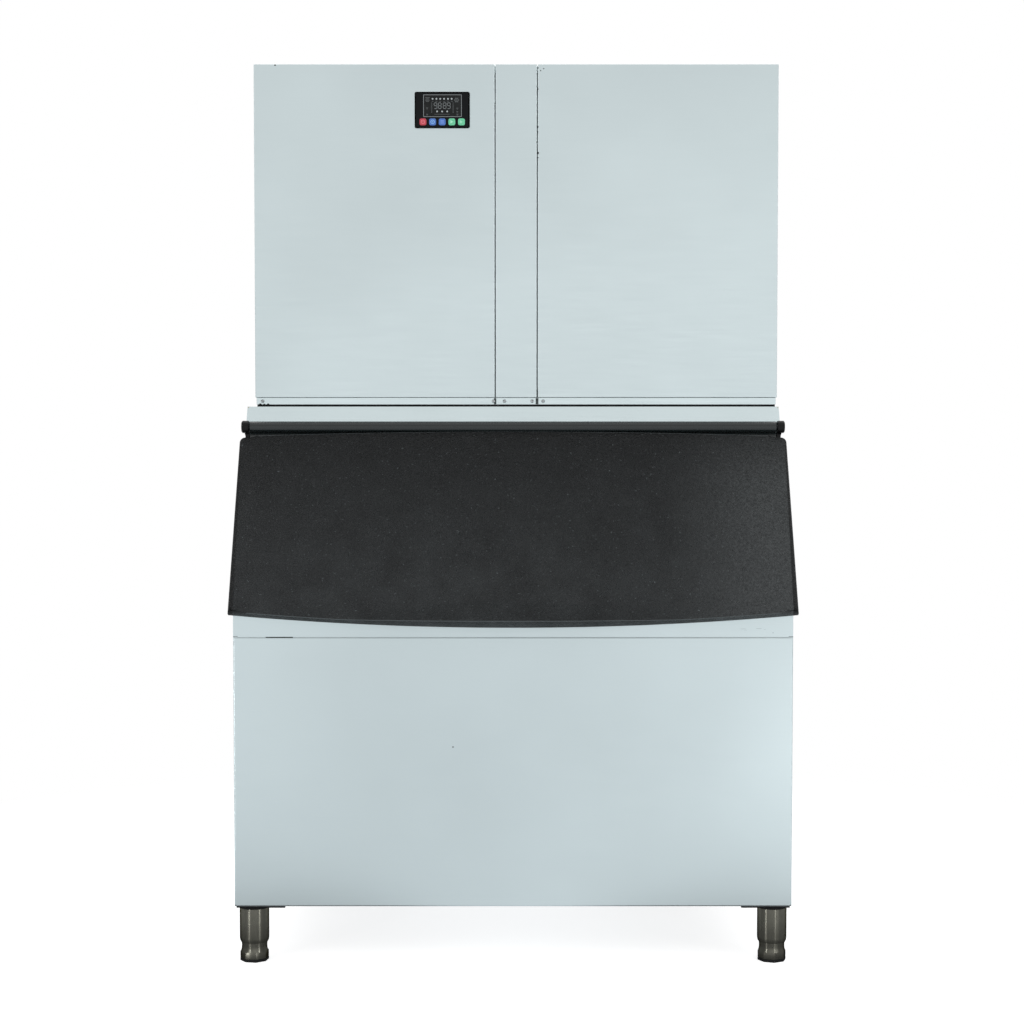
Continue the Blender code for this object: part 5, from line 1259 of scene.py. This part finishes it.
def make_camera():
    """Camera at the photograph's place, straight from the front and a little above the lid."""
    data = bpy.data.cameras.new("front_camera")
    data.lens = CAMERA_LENS
    data.sensor_width = 36.0
    data.clip_start = 0.1
    data.clip_end = 100.0
    camera = bpy.data.objects.new("front_camera", data)
    camera.location = (CAMERA_X, BIN_FRONT[0].y - CAMERA_DISTANCE, CAMERA_HEIGHT)
    camera.rotation_euler = (math.pi / 2 - CAMERA_PITCH, 0.0, 0.0)
    bpy.context.scene.collection.objects.link(camera)
    bpy.context.scene.camera = camera


# Operators
class SharedOptions:
    """Shared settings of the operators."""
    bl_options = {'REGISTER', 'UNDO'}


class ICEMACHINE_OT_finish_solids(SharedOptions, bpy.types.Operator):
    """Gives every solid of the frame the finish of its material slot"""
    bl_idname = "ice_machine.finish_solids"
    bl_label = "Finish the solids"

    def execute(self, context):
        for subpart in frame["record"]["subparts"]:
            solid = frame["nodes"][subpart["node"]]
            solid.data.materials.clear()
            solid.data.materials.append(finish_of(subpart["material_slot"]))
        # The rail takes a copy of the sheet steel made 6% paler, the rail being brighter than the doors.
        rail = frame["nodes"]["head_base_tray"].data.materials
        rail[0] = satin_stainless("paler_stainless_rail", 1.06)
        return {'FINISHED'}


class ICEMACHINE_OT_lid(SharedOptions, bpy.types.Operator):
    """Moulds the lid and its hinge barrel"""
    bl_idname = "ice_machine.lid"
    bl_label = "Lid"

    def execute(self, context):
        # Paler plastic for the crest: a painted highlight along the lid's rim and lower edge.
        crest_highlight = smooth_black_plastic("painted_highlight_crest", "#4a5052", 0.35, 0.42)
        sheen = smooth_black_plastic("satin_black_barrel", "#131a1b", 0.64, 0.26)
        make_lid("moulded_lid", crest_highlight)
        make_barrel("lid_hinge_barrel", sheen)
        return {'FINISHED'}


class ICEMACHINE_OT_hinge(SharedOptions, bpy.types.Operator):
    """Makes the two hinge brackets at the ends of the barrel"""
    bl_idname = "ice_machine.hinge"
    bl_label = "Hinge brackets"

    def execute(self, context):
        make_bracket("bracket_left", -1, "hinge_bracket_left")
        make_bracket("bracket_right", 1, "hinge_bracket_right")
        return {'FINISHED'}


class ICEMACHINE_OT_legs(SharedOptions, bpy.types.Operator):
    """Turns the leg tubes and the screwed feet"""
    bl_idname = "ice_machine.legs"
    bl_label = "Legs"

    def execute(self, context):
        for corner in CORNERS:
            make_leg_tube(corner)
            make_foot(corner)
        return {'FINISHED'}


class ICEMACHINE_OT_control_plate(SharedOptions, bpy.types.Operator):
    """Adds the control plate's rim, the display's print and the key icons"""
    bl_idname = "ice_machine.control_plate"
    bl_label = "Control plate"

    def execute(self, context):
        make_bezel()
        make_display(
            printed_marks("pale_screen_print", 0.85), printed_marks("grey_screen_print", 0.48),
            printed_marks("faint_screen_print", 0.20))
        for node, (kind, colour) in KEY_ICONS.items():
            make_key_icon(node, key_plastic(node + "_print", colour, colour), kind)
        return {'FINISHED'}


class ICEMACHINE_OT_front(SharedOptions, bpy.types.Operator):
    """Rolls the lower front sheet, paints shade along its seam and adds the seal and the marks of use"""
    bl_idname = "ice_machine.front"
    bl_label = "Front sheet and marks"

    def execute(self, context):
        # Dark finish for real chips and grime, and for the painted shade of the seam's gap and the rail's seams.
        dark = grime_and_shade_finish("dark_grime_and_shade", "#3a4040", "#565d5d")
        make_front_sheet("rolled_front_sheet")
        make_seam(grime_and_shade_finish("painted_seam_shade", "#a9b3b6", "#b6bfc2"), dark)
        make_marks(dark, grime_and_shade_finish("dull_scratch", "#a9b5b9", "#b6c1c5"))
        make_seal_bead()
        return {'FINISHED'}


class ICEMACHINE_OT_screws(SharedOptions, bpy.types.Operator):
    """Sets the slotted screws of the rail and of the back"""
    bl_idname = "ice_machine.screws"
    bl_label = "Screws"

    def execute(self, context):
        rail_z = (TRAY[0].z + TRAY[1].z) / 2
        make_screws(
            "rail_screws", [(HEAD_X + x, TRAY[0].y, rail_z) for x in RAIL_SCREWS], (0, -1, 0))
        low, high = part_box("head_back")
        left = low.x + BACK_SCREW_EDGE
        columns = [left + (HEAD_WIDTH - 2 * BACK_SCREW_EDGE) * n / 4 for n in range(5)]
        rows = (low.z + BACK_SCREW_EDGE, high.z - BACK_SCREW_EDGE)
        make_screws("back_screws", [(x, high.y, z) for x in columns for z in rows], (0, 1, 0))
        return {'FINISHED'}


class ICEMACHINE_OT_stage(SharedOptions, bpy.types.Operator):
    """Sets the floor, the lamps, the surroundings and the camera"""
    bl_idname = "ice_machine.stage"
    bl_label = "Stage"

    def execute(self, context):
        make_floor()
        make_surroundings()
        make_lamps()
        make_camera()
        return {'FINISHED'}


# Panel and registration
class IceMachineSettings(bpy.types.PropertyGroup):
    """All settings of the machine."""
    steel: PointerProperty(type=SteelSettings)
    lid: PointerProperty(type=LidSettings)
    legs: PointerProperty(type=LegSettings)
    control: PointerProperty(type=ControlSettings)
    screws: PointerProperty(type=ScrewSettings)


OPERATORS = (
    ICEMACHINE_OT_finish_solids, ICEMACHINE_OT_lid, ICEMACHINE_OT_hinge, ICEMACHINE_OT_legs,
    ICEMACHINE_OT_control_plate, ICEMACHINE_OT_front, ICEMACHINE_OT_screws,
    ICEMACHINE_OT_stage)


class ICEMACHINE_PT_panel(bpy.types.Panel):
    """Sidebar panel with the settings and the building steps"""
    bl_idname = "ICEMACHINE_PT_panel"
    bl_label = "Cube ice machine"
    bl_space_type = 'VIEW_3D'
    bl_region_type = 'UI'
    bl_category = "Ice machine"

    def draw(self, context):
        for name in ("steel", "lid", "legs", "control", "screws"):
            group = getattr(context.scene.ice_machine, name)
            box = self.layout.box()
            for field in group.bl_rna.properties:
                if field.identifier not in ("rna_type", "name"):
                    box.prop(group, field.identifier)
        for operator in OPERATORS:
            self.layout.operator(operator.bl_idname)


CLASSES = (
    SteelSettings, LidSettings, LegSettings, ControlSettings, ScrewSettings, IceMachineSettings,
    *OPERATORS, ICEMACHINE_PT_panel)


def register():
    for made in CLASSES:
        bpy.utils.register_class(made)
    bpy.types.Scene.ice_machine = PointerProperty(type=IceMachineSettings)


def unregister():
    del bpy.types.Scene.ice_machine
    for made in reversed(CLASSES):
        bpy.utils.unregister_class(made)


def main():
    """Builds everything in order."""
    register()
    scene = bpy.context.scene
    scene.view_settings.view_transform = 'Standard'
    bpy.ops.ice_machine.finish_solids()
    bpy.ops.ice_machine.lid()
    bpy.ops.ice_machine.hinge()
    bpy.ops.ice_machine.legs()
    bpy.ops.ice_machine.control_plate()
    bpy.ops.ice_machine.front()
    bpy.ops.ice_machine.screws()
    bpy.ops.ice_machine.stage()


if __name__ == "__main__":
    main()
